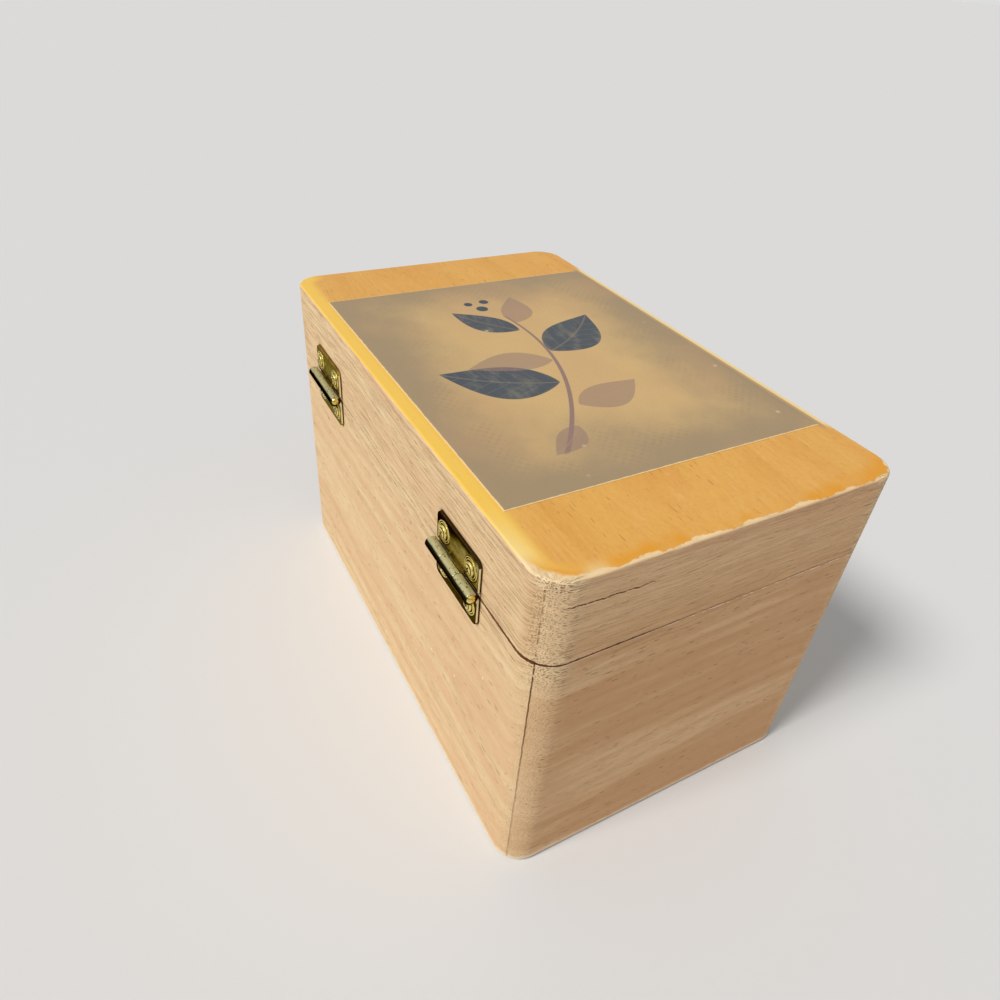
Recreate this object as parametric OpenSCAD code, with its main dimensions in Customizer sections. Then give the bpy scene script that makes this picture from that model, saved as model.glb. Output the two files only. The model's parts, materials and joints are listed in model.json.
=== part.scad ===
// Photo storage box: a small wooden chest with a hinged lid.
// Four boards are glued into one carcass with rebated corners, a panel closes the top and
// another the underside, and the carcass is then sawn in two, so body and lid match all round.
// Length runs along X, the hinges are at the back (+Y) and the catch is at the front (-Y).
// The origin is the middle of the underside, and all sizes are in millimetres.

/* [Carcass] */
// Outside length of the box, without fittings
box_l = 188; // [150:1:260]
// Outside depth of the box from front to back, without fittings
box_w = 115; // [90:1:170]
// Height of the body from the underside to its rim
body_h = 90.3; // [60:0.1:140]
// Height of the lid from its rim to its top face
lid_h = 26.6; // [22:0.1:60]
// Gap between the two rims when the lid is shut
rim_gap = 0.4; // [0.2:0.1:1]
// Thickness of the front, back and end boards
wall_t = 6; // [5.5:0.1:9]
// Rounding of the four upright corners
corner_r = 9; // [7:0.1:14]
// Thickness left on an end board where it laps over the end of a long board
lap_t = 3.3; // [2:0.1:4.5]
// Rounding of the arris round the underside
foot_r = 1.2; // [0.4:0.1:2]

/* [Panels] */
// Thickness of the panel glued over the lid's boards
top_t = 3; // [2.5:0.1:6]
// Rounding of the arris round the top
top_r = 0.8; // [0.5:0.1:2.4]
// Thickness of the panel let into the underside
bottom_t = 3; // [2:0.1:5]
// How far the bottom panel reaches into the boards
bottom_seat = 3; // [1.5:0.1:4]
// Clearance round the edge of the bottom panel
panel_play = 0.15; // [0.05:0.05:0.4]

/* [Picture] */
// Length of the paper picture glued on the lid
picture_l = 133; // [60:1:140]
// Width of the picture from front to back
picture_w = 106.7; // [40:0.1:108]
// Thickness of the picture's paper
picture_t = 0.3; // [0.1:0.05:0.6]
// Bare lid between the left end and the picture
picture_left = 27.7; // [5:0.1:40]
// Bare lid between the back and the picture
picture_back = 4.8; // [3:0.1:20]

/* [Hinges] */
// Length of each hinge along its pin
hinge_l = 25; // [18:0.5:40]
// Distance from an end of the box to the nearer end of its hinge
hinge_inset = 27.5; // [12:0.5:45]
// Height of a leaf, from the pin's axis to its far edge
leaf_h = 11; // [9.5:0.1:18]
// Thickness of the hinge's sheet brass
leaf_t = 0.9; // [0.6:0.05:1.2]
// Rounding of a leaf's two far corners
leaf_corner_r = 2; // [0.5:0.1:3]
// Distance from the box's back face out to the pin's axis
pin_out = 2.7; // [2.4:0.1:4]
// Height of the pin's axis above the middle of the rim gap
pin_rise = 1; // [-2:0.1:2]
// Diameter of the pin
pin_d = 1.9; // [1.4:0.1:2.2]
// Clearance between the pin and the rolled knuckles, on the radius
pin_play = 0.05; // [0.02:0.01:0.1]
// Gap between neighbouring knuckles
knuckle_gap = 0.2; // [0.1:0.05:0.6]
// Distance from the pin's axis to the edge of a leaf's flat plate
plate_gap = 1.4; // [1.3:0.1:2]
// Distance from the pin's axis at which the sheet starts to bend out to the roll
neck_h = 2.6; // [2.2:0.1:3.5]
// Diameter of the domed heads on the pin
pin_head_d = 2.6; // [2.3:0.1:3.4]
// Height of the domed heads on the pin
pin_head_h = 0.8; // [0.4:0.1:1.2]

/* [Hinge screws] */
// Distance between the two screws of a leaf
screw_spacing = 16; // [10:0.5:18]
// Distance from the pin's axis to the screws
screw_drop = 6.1; // [5:0.1:7]
// Diameter of a screw's domed head
screw_head_d = 4.3; // [3:0.1:5]
// Height of a screw's domed head
screw_head_h = 1.1; // [0.6:0.1:1.2]
// Diameter of a screw's shank
screw_d = 1.8; // [1.2:0.1:2.4]
// Length of a screw below its head
screw_l = 5.2; // [3:0.1:5.6]
// Clearance round a screw's shank, on the radius
shank_play = 0.05; // [0.02:0.01:0.2]

/* [Catch] */
// Height of the hook's pivot below the middle of the rim gap
pivot_drop = 11; // [8:0.5:20]
// Height of the catch stud above the middle of the rim gap
stud_rise = 9; // [7:0.5:14]
// Thickness of the hook's brass plate
hook_t = 1.4; // [0.8:0.1:2]
// Radius of the round eye at the hook's pivot
eye_r = 3.4; // [2.8:0.1:4.5]
// Width of the hook's arm where it leaves the eye
arm_w = 4.4; // [3:0.1:5.6]
// Width of metal round the hook's slot
jaw_w = 2.6; // [1.8:0.1:3.5]
// Diameter of the pivot screw's shank
pivot_d = 2.4; // [1.8:0.1:3]
// Diameter of the neck of the catch stud
neck_d = 2.2; // [1.6:0.1:2.8]
// Clearance between the hook's slot and the stud, on the radius
slot_play = 0.3; // [0.25:0.05:0.6]
// Clearance between the hook's bore and the pivot screw, on the radius
pivot_play = 0.08; // [0.02:0.01:0.1]
// Gap between the hook and the washer behind it, and the head before it
hook_play = 0.15; // [0.05:0.05:0.4]
// Thickness of the washer that spaces the hook from the wood
washer_t = 0.8; // [0.5:0.1:1.5]
// Diameter of the washer
washer_d = 6; // [5:0.1:8]
// Diameter of the pivot screw's domed head
pivot_head_d = 5; // [4:0.1:6]
// Diameter of the stud's domed head
stud_head_d = 4.6; // [3.6:0.1:5.6]
// Height of the two domed heads
catch_head_h = 2.1; // [1.2:0.1:2.4]
// Length of screw and stud in the wood
catch_grip = 4.6; // [3:0.1:5]

/* [Hidden] */
// Overlap of a cut past the face that it opens
cut = 1;
// Facets of every round edge
$fn = 64;

// Heights of the rim gap, the lid's rim, the top face and the pins
parting_z = body_h + rim_gap / 2;
lid_z = body_h + rim_gap;
top_z = lid_z + lid_h;
pin_z = parting_z + pin_rise;
pin_y = box_w / 2 + pin_out;
hinge_x = box_l / 2 - hinge_inset - hinge_l / 2;

// Radii of the rolled knuckles, and the length of one of the three
bore_r = pin_d / 2 + pin_play;
knuckle_r = bore_r + leaf_t;
knuckle_l = (hinge_l - 2 * knuckle_gap) / 3;

// The strip of board that stays outside the bottom panel, and the radius of the seat's corners
seat_lip = wall_t - bottom_seat;
seat_r = corner_r - seat_lip;

// Places of the catch on the front face
pivot_z = parting_z - pivot_drop;
stud_z = parting_z + stud_rise;
hook_reach = pivot_drop + stud_rise;
slot_r = neck_d / 2 + slot_play;
hook_back = washer_t + hook_play;
head_back = hook_back + hook_t + hook_play;

// Colours of the finishes
bare_wood = [0.87, 0.74, 0.57];
end_wood = [0.83, 0.69, 0.52];
varnished_wood = [0.88, 0.66, 0.32];
plain_ply = [0.85, 0.75, 0.60];
brass = [0.76, 0.68, 0.38];
picture_paper = [0.72, 0.64, 0.50];

// Outlines and blanks

// A rectangle centred on the origin, with its four corners rounded
module rounded_rect(l, w, r) {
    square([l - 2 * r, w], center = true);
    square([l, w - 2 * r], center = true);
    for (x = [-1, 1], y = [-1, 1])
        translate([x * (l / 2 - r), y * (w / 2 - r)]) circle(r);
}

// A slab on the plane z = 0 with upright corners of radius r and its upper arris rounded by e
module soft_slab(l, w, h, r, e) {
    linear_extrude(h - e) rounded_rect(l, w, r);
    translate([0, 0, h - e]) {
        linear_extrude(e) square([l - 2 * r, w - 2 * r], center = true);
        for (i = [0:3]) {
            along = i % 2 == 0 ? l : w;
            across = i % 2 == 0 ? w : l;
            rotate(90 * i) translate([0, across / 2 - r, 0]) {
                along_x(along - 2 * r) rounded_edge(r, e);
                translate([along / 2 - r, 0, 0]) rotate_extrude(angle = 90) rounded_edge(r, e);
            }
        }
    }
}

// Section of an edge that reaches out to r, with its upper corner rounded by all of its height e
module rounded_edge(r, e) {
    square([r - e, e]);
    translate([r - e, 0]) intersection() {
        circle(e);
        square(e);
    }
}

// A point on a circle round the origin
function polar(r, a) = [r * cos(a), r * sin(a)];

// The part of a ring between two angles less than half a turn apart
module ring_sector(r_in, r_out, a_from, a_to) {
    far = 2 * r_out;
    mid = (a_from + a_to) / 2;
    intersection() {
        difference() {
            circle(r_out);
            circle(r_in);
        }
        polygon([[0, 0], polar(far, a_from), polar(far, mid), polar(far, a_to)]);
    }
}

// Extrudes an outline drawn in Y and Z along X, centred on x = 0
module along_x(l) {
    rotate([90, 0, 90]) linear_extrude(l, center = true) children();
}

// Extrudes an outline drawn in X and Z along +Y from y = 0
module along_y(l) {
    rotate([90, 0, 0]) mirror([0, 0, 1]) linear_extrude(l) children();
}

// Carcass

// The outside of the body, with its lower arris rounded
module body_outside() {
    translate([0, 0, body_h]) mirror([0, 0, 1]) soft_slab(box_l, box_w, body_h, corner_r, foot_r);
}

// The outside of the lid's boards, under the top panel
module lid_outside() {
    translate([0, 0, lid_z]) linear_extrude(lid_h - top_t) rounded_rect(box_l, box_w, corner_r);
}

// The back board between the two laps, from one height to another
module back_board(z_from, z_to) {
    translate([-(box_l / 2 - lap_t), box_w / 2 - wall_t, z_from])
        cube([box_l - 2 * lap_t, wall_t, z_to - z_from]);
}

// The left end board, with a rebate at each end for a long board
module left_board(z_from, z_to) {
    difference() {
        translate([-box_l / 2, -box_w / 2, z_from]) cube([wall_t, box_w, z_to - z_from]);
        for (side = [-1, 1])
            translate([-box_l / 2 + lap_t + wall_t / 2, side * box_w / 2, (z_from + z_to) / 2])
                cube([wall_t, 2 * wall_t, z_to - z_from + 2 * cut], center = true);
    }
}

// The seat cut into the boards for the bottom panel
module bottom_seat_cut() {
    translate([0, 0, -cut]) linear_extrude(bottom_t + cut)
        rounded_rect(box_l - 2 * seat_lip, box_w - 2 * seat_lip, seat_r);
}

// Pilot holes bored into the back face for one row of hinge screws
module hinge_pilots(z) {
    depth = screw_l - leaf_t + shank_play;
    for (side = [-1, 1], i = [-1, 1])
        translate([side * hinge_x + i * screw_spacing / 2, box_w / 2 + cut, z])
            rotate([90, 0, 0]) cylinder(h = depth + cut, d = screw_d + 2 * shank_play);
}

// A pilot hole bored into the front face for the catch
module catch_pilot(z, d) {
    translate([0, -box_w / 2 - cut, z]) rotate([-90, 0, 0])
        cylinder(h = catch_grip + cut + shank_play, d = d + 2 * shank_play);
}

module body_back_wall() {
    color(bare_wood) difference() {
        intersection() {
            body_outside();
            back_board(0, body_h);
        }
        bottom_seat_cut();
        hinge_pilots(pin_z - screw_drop);
    }
}

module body_front_wall() {
    color(bare_wood) difference() {
        intersection() {
            body_outside();
            mirror([0, 1, 0]) back_board(0, body_h);
        }
        bottom_seat_cut();
        catch_pilot(pivot_z, pivot_d);
    }
}

module body_left_end() {
    color(end_wood) difference() {
        intersection() {
            body_outside();
            left_board(0, body_h);
        }
        bottom_seat_cut();
    }
}

module body_right_end() {
    mirror([1, 0, 0]) body_left_end();
}

module body_bottom_panel() {
    color(plain_ply) linear_extrude(bottom_t)
        rounded_rect(box_l - 2 * (seat_lip + panel_play), box_w - 2 * (seat_lip + panel_play),
                     seat_r - panel_play);
}

module lid_back_wall() {
    color(bare_wood) difference() {
        intersection() {
            lid_outside();
            back_board(lid_z, top_z);
        }
        hinge_pilots(pin_z + screw_drop);
    }
}

module lid_front_wall() {
    color(bare_wood) difference() {
        intersection() {
            lid_outside();
            mirror([0, 1, 0]) back_board(lid_z, top_z);
        }
        catch_pilot(stud_z, neck_d);
    }
}

module lid_left_end() {
    color(end_wood) intersection() {
        lid_outside();
        left_board(lid_z, top_z);
    }
}

module lid_right_end() {
    mirror([1, 0, 0]) lid_left_end();
}

module lid_top_panel() {
    color(varnished_wood) translate([0, 0, top_z - top_t])
        soft_slab(box_l, box_w, top_t, corner_r, top_r);
}

// The picture lies flat on the panel, set back from its edges by the two margins
module cover_picture() {
    color(picture_paper)
        translate([-box_l / 2 + picture_left, box_w / 2 - picture_back - picture_w, top_z])
            cube([picture_l, picture_w, picture_t]);
}

// Hinges, drawn round the pin's axis: Y points away from the box

// Outline of a rolled knuckle: the sheet rises along the box, bends out and closes round the pin
module knuckle_outline() {
    seam_from = 200;
    seam_to = 244;
    difference() {
        circle(knuckle_r);
        circle(bore_r);
        polygon([[0, 0], polar(2 * knuckle_r, seam_from), polar(2 * knuckle_r, seam_to)]);
    }
    polygon([
        [-pin_out, -neck_h - leaf_t], [-pin_out + leaf_t, -neck_h - leaf_t],
        [-pin_out + leaf_t, -neck_h], polar(bore_r, seam_from), [-bore_r, 0],
        [-knuckle_r, 0], [-pin_out, -neck_h]
    ]);
}

// Outline of the flat plate below a straight upper edge, with its far corners rounded
module plate_outline(l, top) {
    r = leaf_corner_r;
    translate([-l / 2, -leaf_h + r]) square([l, leaf_h - r - top]);
    translate([-l / 2 + r, -leaf_h]) square([l - 2 * r, leaf_h - top]);
    for (side = [-1, 1])
        translate([side * (l / 2 - r), -leaf_h + r]) circle(r);
}

// Lays the knuckles of a leaf along the pin, where three fill the hinge's length
module at_knuckles(places) {
    for (i = places) translate([i * (knuckle_l + knuckle_gap), 0, 0]) children();
}

// One leaf hanging below the pin, rolled at the knuckles in rolled and cut back at the others
module leaf(rolled, clear) {
    difference() {
        union() {
            translate([0, -pin_out, 0]) along_y(leaf_t) plate_outline(hinge_l, neck_h);
            translate([0, -pin_out, 0]) at_knuckles(clear)
                along_y(leaf_t) translate([-knuckle_l / 2, -neck_h - leaf_t])
                    square([knuckle_l, neck_h + leaf_t - plate_gap]);
            at_knuckles(rolled) along_x(knuckle_l) knuckle_outline();
        }
        for (i = [-1, 1])
            translate([i * screw_spacing / 2, -pin_out - cut, -screw_drop])
                rotate([-90, 0, 0]) cylinder(h = leaf_t + 2 * cut, d = screw_d + 4 * shank_play);
    }
}

// The leaf on the body has the two outer knuckles, the leaf on the lid the middle one
module body_leaf() {
    color(brass) leaf([-1, 1], [0]);
}

module lid_leaf() {
    color(brass) mirror([0, 0, 1]) leaf([0], [-1, 1]);
}

// A domed head standing on the plane z = 0
module domed_head(d, h) {
    ball_r = (d * d / 4 + h * h) / (2 * h);
    intersection() {
        translate([0, 0, h - ball_r]) sphere(ball_r);
        cylinder(h = h, d = d);
    }
}

module hinge_pin() {
    color(brass) rotate([0, 90, 0]) {
        cylinder(h = hinge_l, d = pin_d, center = true);
        for (turn = [0, 180])
            rotate([turn, 0, 0]) translate([0, 0, hinge_l / 2]) domed_head(pin_head_d, pin_head_h);
    }
}

// Places a hinge piece on the left (-1) or right (1) hinge's axis
module at_hinge(side) {
    translate([side * hinge_x, pin_y, pin_z]) children();
}

module left_hinge_body_leaf() at_hinge(-1) body_leaf();
module left_hinge_lid_leaf() at_hinge(-1) lid_leaf();
module left_hinge_pin() at_hinge(-1) hinge_pin();
module right_hinge_body_leaf() at_hinge(1) body_leaf();
module right_hinge_lid_leaf() at_hinge(1) lid_leaf();
module right_hinge_pin() at_hinge(1) hinge_pin();

// A screw along -Z with its domed head above the plane z = 0
module domed_screw(head_diameter, head_height, d, l) {
    tip_l = d;
    domed_head(head_diameter, head_height);
    translate([0, 0, -(l - tip_l)]) cylinder(h = l - tip_l, d = d);
    translate([0, 0, -l]) cylinder(h = tip_l, d1 = d / 5, d2 = d);
}

// One row of hinge screws, on the outer face of the leaves
module hinge_screws(z) {
    color(brass)
        for (side = [-1, 1], i = [-1, 1])
            translate([side * hinge_x + i * screw_spacing / 2, box_w / 2 + leaf_t, z])
                rotate([-90, 0, 0]) domed_screw(screw_head_d, screw_head_h, screw_d, screw_l);
}

module body_hinge_screws() hinge_screws(pin_z - screw_drop);
module lid_hinge_screws() hinge_screws(pin_z + screw_drop);

// Catch, drawn with its pivot on the Z axis: Z points away from the box

// Outline of the hook pointing along +Y. The slot is an arc round the pivot, open towards +X.
module hook_outline() {
    up = 90;
    past_mouth = up / 2;
    turn_per_mm = 180 / PI / hook_reach;
    jaw_in = hook_reach - slot_r;
    jaw_out = hook_reach + slot_r;
    spine_a = up + (slot_r + jaw_w) * turn_per_mm;
    tip_a = up - (slot_r + jaw_w) * turn_per_mm;
    lip_a = up - slot_r * turn_per_mm;
    difference() {
        union() {
            circle(eye_r);
            polygon([
                [-arm_w / 2, 0], [arm_w / 2, 0],
                polar(jaw_in - jaw_w / 2, up), polar(jaw_in - jaw_w / 2, spine_a)
            ]);
            ring_sector(jaw_in - jaw_w, jaw_out + jaw_w, up, spine_a);
            ring_sector(jaw_out, jaw_out + jaw_w, tip_a, up);
            translate(polar(jaw_out + jaw_w / 2, tip_a)) circle(jaw_w / 2);
            ring_sector(jaw_in - jaw_w, jaw_in, lip_a, up);
            translate(polar(jaw_in - jaw_w / 2, lip_a)) circle(jaw_w / 2);
        }
        circle(pivot_d / 2 + pivot_play);
        translate([0, hook_reach]) circle(slot_r);
        ring_sector(jaw_in, jaw_out, past_mouth, up);
    }
}

// The hook hangs straight down at rest, with its slot towards the left
module catch_hook() {
    color(brass) translate([0, -box_w / 2, pivot_z])
        rotate([90, 180, 0]) translate([0, 0, hook_back]) linear_extrude(hook_t) hook_outline();
}

module catch_washer() {
    color(brass) translate([0, -box_w / 2, pivot_z]) rotate([90, 0, 0])
        difference() {
            cylinder(h = washer_t, d = washer_d);
            translate([0, 0, -cut]) cylinder(h = washer_t + 2 * cut, r = pivot_d / 2 + pivot_play);
        }
}

module catch_pivot_screw() {
    color(brass) translate([0, -box_w / 2 - head_back, pivot_z]) rotate([90, 0, 0])
        domed_screw(pivot_head_d, catch_head_h, pivot_d, head_back + catch_grip);
}

// The stud is a screw with a collar that rests on the wood
module catch_stud() {
    collar_h = washer_t / 2;
    color(brass) translate([0, -box_w / 2, stud_z]) rotate([90, 0, 0]) {
        translate([0, 0, head_back]) domed_screw(stud_head_d, catch_head_h, neck_d, head_back + catch_grip);
        cylinder(h = collar_h, d = stud_head_d);
    }
}

body_front_wall();
body_back_wall();
body_left_end();
body_right_end();
body_bottom_panel();
lid_front_wall();
lid_back_wall();
lid_left_end();
lid_right_end();
lid_top_panel();
cover_picture();
left_hinge_body_leaf();
left_hinge_lid_leaf();
left_hinge_pin();
right_hinge_body_leaf();
right_hinge_lid_leaf();
right_hinge_pin();
body_hinge_screws();
lid_hinge_screws();
catch_hook();
catch_pivot_screw();
catch_washer();
catch_stud();
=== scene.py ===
"""A wooden photo storage box with a varnished lid, a glued picture, brass hinges and a catch.

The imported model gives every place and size. Boards and sheet brass are redrawn from its solids
with softened arrises, screws are made with geometry nodes, and each surface gets its finish.
Sizes in the scene are in metres, and in materials in millimetres, as their names say.
"""

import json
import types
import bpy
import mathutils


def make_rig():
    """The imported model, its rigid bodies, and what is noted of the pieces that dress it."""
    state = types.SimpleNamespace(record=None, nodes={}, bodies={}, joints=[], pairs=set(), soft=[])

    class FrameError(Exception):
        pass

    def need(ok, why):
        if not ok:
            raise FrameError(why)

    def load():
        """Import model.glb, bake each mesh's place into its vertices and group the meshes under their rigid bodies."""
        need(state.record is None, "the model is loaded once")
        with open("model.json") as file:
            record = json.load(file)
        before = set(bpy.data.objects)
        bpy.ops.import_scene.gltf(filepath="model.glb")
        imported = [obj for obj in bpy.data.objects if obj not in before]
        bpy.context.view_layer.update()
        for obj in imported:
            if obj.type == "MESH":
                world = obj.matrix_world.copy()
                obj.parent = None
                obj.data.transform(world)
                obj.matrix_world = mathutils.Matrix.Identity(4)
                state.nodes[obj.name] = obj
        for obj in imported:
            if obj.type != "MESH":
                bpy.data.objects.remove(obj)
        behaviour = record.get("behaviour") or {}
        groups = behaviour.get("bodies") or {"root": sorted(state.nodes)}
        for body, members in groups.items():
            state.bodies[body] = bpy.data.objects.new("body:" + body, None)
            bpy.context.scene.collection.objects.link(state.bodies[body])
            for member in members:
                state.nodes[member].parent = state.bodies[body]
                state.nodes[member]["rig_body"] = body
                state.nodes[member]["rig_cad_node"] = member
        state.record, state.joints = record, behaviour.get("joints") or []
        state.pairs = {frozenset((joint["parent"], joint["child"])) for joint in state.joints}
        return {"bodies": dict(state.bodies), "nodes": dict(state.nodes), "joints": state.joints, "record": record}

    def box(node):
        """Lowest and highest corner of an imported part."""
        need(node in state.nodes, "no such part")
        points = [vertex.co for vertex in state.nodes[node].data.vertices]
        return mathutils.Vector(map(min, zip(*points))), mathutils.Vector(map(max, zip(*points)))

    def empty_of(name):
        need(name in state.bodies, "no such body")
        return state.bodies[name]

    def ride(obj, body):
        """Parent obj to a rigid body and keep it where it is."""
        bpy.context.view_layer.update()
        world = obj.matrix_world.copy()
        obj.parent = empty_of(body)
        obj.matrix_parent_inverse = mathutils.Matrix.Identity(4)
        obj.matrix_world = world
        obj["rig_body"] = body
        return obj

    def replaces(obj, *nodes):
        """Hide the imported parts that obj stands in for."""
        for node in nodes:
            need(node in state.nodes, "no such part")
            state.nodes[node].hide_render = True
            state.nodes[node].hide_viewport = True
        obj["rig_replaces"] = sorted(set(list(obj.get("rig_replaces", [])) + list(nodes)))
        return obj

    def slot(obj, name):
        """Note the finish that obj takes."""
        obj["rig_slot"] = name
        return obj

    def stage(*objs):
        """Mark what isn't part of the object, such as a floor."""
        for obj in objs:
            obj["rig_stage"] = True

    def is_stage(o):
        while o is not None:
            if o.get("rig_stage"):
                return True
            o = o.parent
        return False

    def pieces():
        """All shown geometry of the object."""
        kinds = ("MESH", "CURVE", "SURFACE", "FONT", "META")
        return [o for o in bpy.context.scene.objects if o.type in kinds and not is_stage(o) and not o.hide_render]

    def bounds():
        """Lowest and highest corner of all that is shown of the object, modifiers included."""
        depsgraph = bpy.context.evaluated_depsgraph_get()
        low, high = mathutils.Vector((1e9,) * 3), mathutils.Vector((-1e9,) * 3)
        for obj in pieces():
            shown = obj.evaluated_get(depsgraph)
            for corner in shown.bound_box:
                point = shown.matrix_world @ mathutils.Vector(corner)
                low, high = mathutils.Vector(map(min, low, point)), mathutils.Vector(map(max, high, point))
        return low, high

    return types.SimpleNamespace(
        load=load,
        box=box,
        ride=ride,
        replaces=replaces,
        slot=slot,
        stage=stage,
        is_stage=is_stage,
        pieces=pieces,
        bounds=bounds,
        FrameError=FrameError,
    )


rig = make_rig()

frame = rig.load()

import json
import logging
import math
import random
from collections.abc import Callable
from dataclasses import dataclass, field
from enum import Enum
from functools import reduce

import bmesh
import bpy
from mathutils import Matrix, Vector

log = logging.getLogger("storage_box")

MM = 0.001
SIZE_FILE = "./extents.json"

Colour = tuple[float, float, float, float]


def plain_box() -> list[list[float]]:
    """The whole object's box as plain lists of numbers."""
    return [[float(x) for x in corner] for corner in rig.bounds()]


CAD_BOX = plain_box()


def paint(red: int, green: int, blue: int) -> Colour:
    """Turns a colour as seen on a screen into the linear one that a shader takes.

    Args:
        red, green, blue: The seen colour, from 0 to 255.

    Returns:
        The linear colour with an alpha of 1.
    """
    def linear(value: int) -> float:
        """One channel, without its display curve."""
        share = value / 255
        return share / 12.92 if share <= 0.04045 else ((share + 0.055) / 1.055) ** 2.4

    return linear(red), linear(green), linear(blue), 1.0


@dataclass(frozen=True)
class Value:
    """What a node gives out: a number that the usual signs work on, a place or a colour."""

    graph: "Graph"
    socket: bpy.types.NodeSocket

    def __add__(self, other: "Feed") -> "Value":
        """The sum."""
        return self.graph.math("ADD", self, other)

    def __sub__(self, other: "Feed") -> "Value":
        """What is left after taking the other away."""
        return self.graph.math("SUBTRACT", self, other)

    def __rsub__(self, other: "Feed") -> "Value":
        """What is left of the other after taking this away."""
        return self.graph.math("SUBTRACT", other, self)

    def __mul__(self, other: "Feed") -> "Value":
        """The product."""
        return self.graph.math("MULTIPLY", self, other)

    def __truediv__(self, other: "Feed") -> "Value":
        """This divided by the other."""
        return self.graph.math("DIVIDE", self, other)

    def __pow__(self, power: float) -> "Value":
        """This raised to a power."""
        return self.graph.math("POWER", self, power)

    def __abs__(self) -> "Value":
        """The size without its sign."""
        return self.graph.math("ABSOLUTE", self)

    def clamped(self) -> "Value":
        """Held between 0 and 1."""
        return self.graph.math("ADD", self, 0.0, clamp=True)

    __radd__, __rmul__ = __add__, __mul__


Feed = Value | bpy.types.NodeSocket | float | int | tuple
PerMm = float | tuple[float, float, float]


class Graph:
    """Adds linked nodes to one node tree, one method for each kind of step."""

    def __init__(self, tree: bpy.types.NodeTree) -> None:
        """Keeps the tree that the nodes go into."""
        self.tree = tree

    def feed(self, socket: bpy.types.NodeSocket, value: Feed) -> None:
        """Links a socket to another, or sets its constant.

        Args:
            socket: The input that is fed.
            value: A node's output, a number, a vector or a colour.
        """
        source = value.socket if isinstance(value, Value) else value
        if isinstance(source, bpy.types.NodeSocket):
            self.tree.links.new(source, socket)
        else:
            socket.default_value = source

    def add(self, kind: str, feeds: dict | None = None, **settings: object) -> bpy.types.Node:
        """Adds a node.

        Args:
            kind: The node's type.
            feeds: What each input takes, by the input's name or number.
            settings: The node's own properties.

        Returns:
            The new node.
        """
        node = self.tree.nodes.new(kind)
        for name, value in settings.items():
            setattr(node, name, value)
        for name, value in (feeds or {}).items():
            self.feed(node.inputs[name], value)
        return node

    def value(self, kind: str, feeds: dict | None = None, output: int | str = 0,
              **settings: object) -> Value:
        """Adds a node for the sake of one of its outputs. See add for the arguments."""
        return Value(self, self.add(kind, feeds, **settings).outputs[output])

    def outputs(self, node: bpy.types.Node) -> dict[str, Value]:
        """A node's outputs by name."""
        return {socket.name: Value(self, socket) for socket in node.outputs}

    def math(self, operation: str, *feeds: Feed, clamp: bool = False) -> Value:
        """A number worked out from one or two others."""
        return self.value("ShaderNodeMath", dict(enumerate(feeds)), operation=operation, use_clamp=clamp)

    def most(self, *feeds: Feed) -> Value:
        """The largest of several numbers."""
        return reduce(lambda first, second: self.math("MAXIMUM", first, second), feeds)

    def least(self, *feeds: Feed) -> Value:
        """The smallest of several numbers."""
        return reduce(lambda first, second: self.math("MINIMUM", first, second), feeds)

    def vector(self, operation: str, *feeds: Feed) -> Value:
        """A vector worked out from one or two others."""
        return self.value("ShaderNodeVectorMath", dict(enumerate(feeds)), operation=operation)

    def scaled(self, vector: Feed, factor: Feed) -> Value:
        """A vector made longer or shorter."""
        return self.value("ShaderNodeVectorMath", {0: vector, "Scale": factor}, operation="SCALE")

    def length(self, vector: Feed) -> Value:
        """The length of a vector."""
        return self.value("ShaderNodeVectorMath", {0: vector}, "Value", operation="LENGTH")

    def split(self, vector: Feed) -> tuple[Value, ...]:
        """The three numbers of a vector."""
        return tuple(self.outputs(self.add("ShaderNodeSeparateXYZ", {0: vector})).values())

    def join(self, x: Feed, y: Feed, z: Feed = 0.0) -> Value:
        """A vector made of three numbers."""
        return self.value("ShaderNodeCombineXYZ", {0: x, 1: y, 2: z})

    def step(self, value: Feed, start: float, end: float) -> Value:
        """Rises smoothly from 0 at start to 1 at end, and falls where end is the smaller.

        Args:
            value: The number that is looked at.
            start: Where the result is 0.
            end: Where the result is 1.

        Returns:
            The share from 0 to 1.
        """
        falls = end < start
        feeds = {0: value, 1: min(start, end), 2: max(start, end), 3: float(falls), 4: float(not falls)}
        return self.value("ShaderNodeMapRange", feeds, interpolation_type="SMOOTHSTEP")

    def band(self, value: Feed, rise: tuple[float, float], fall: tuple[float, float]) -> Value:
        """Is 1 between two places, with a soft edge on either side.

        Args:
            value: The number that is looked at.
            rise: Where the result leaves 0, and where it reaches 1.
            fall: Where the result leaves 1, and where it is 0 again.

        Returns:
            The share from 0 to 1.
        """
        return self.step(value, *rise) * self.step(value, *reversed(fall))

    def noise(self, place: Feed, per_mm: PerMm, detail: float = 2.0, roughness: float = 0.5) -> Value:
        """Seeded noise in space.

        Args:
            place: The place in millimetres.
            per_mm: How many times it varies in a millimetre, for all axes or for each.
            detail: How many finer layers it has.
            roughness: How strong the finer layers are.

        Returns:
            A number around 0.5, between 0 and 1.
        """
        each = per_mm if isinstance(per_mm, tuple) else (per_mm,) * 3
        return self.value("ShaderNodeTexNoise", {"Vector": self.vector("MULTIPLY", place, each),
                                                 "Scale": 1.0, "Detail": detail, "Roughness": roughness})

    def patches(self, place: Feed, per_mm: PerMm, rise: tuple[float, float], detail: float = 2.0,
                roughness: float = 0.5) -> Value:
        """Seeded patches: noise put through a step from rise[0] to rise[1]. See noise and step."""
        return self.step(self.noise(place, per_mm, detail, roughness), *rise)

    def joined(self, shapes: list[Value]) -> Value:
        """Several shapes as one.

        Args:
            shapes: The shapes.

        Returns:
            The joined shape.
        """
        node = self.add("GeometryNodeJoinGeometry")
        for shape in shapes:
            self.feed(node.inputs[0], shape)
        return Value(self, node.outputs[0])

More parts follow.
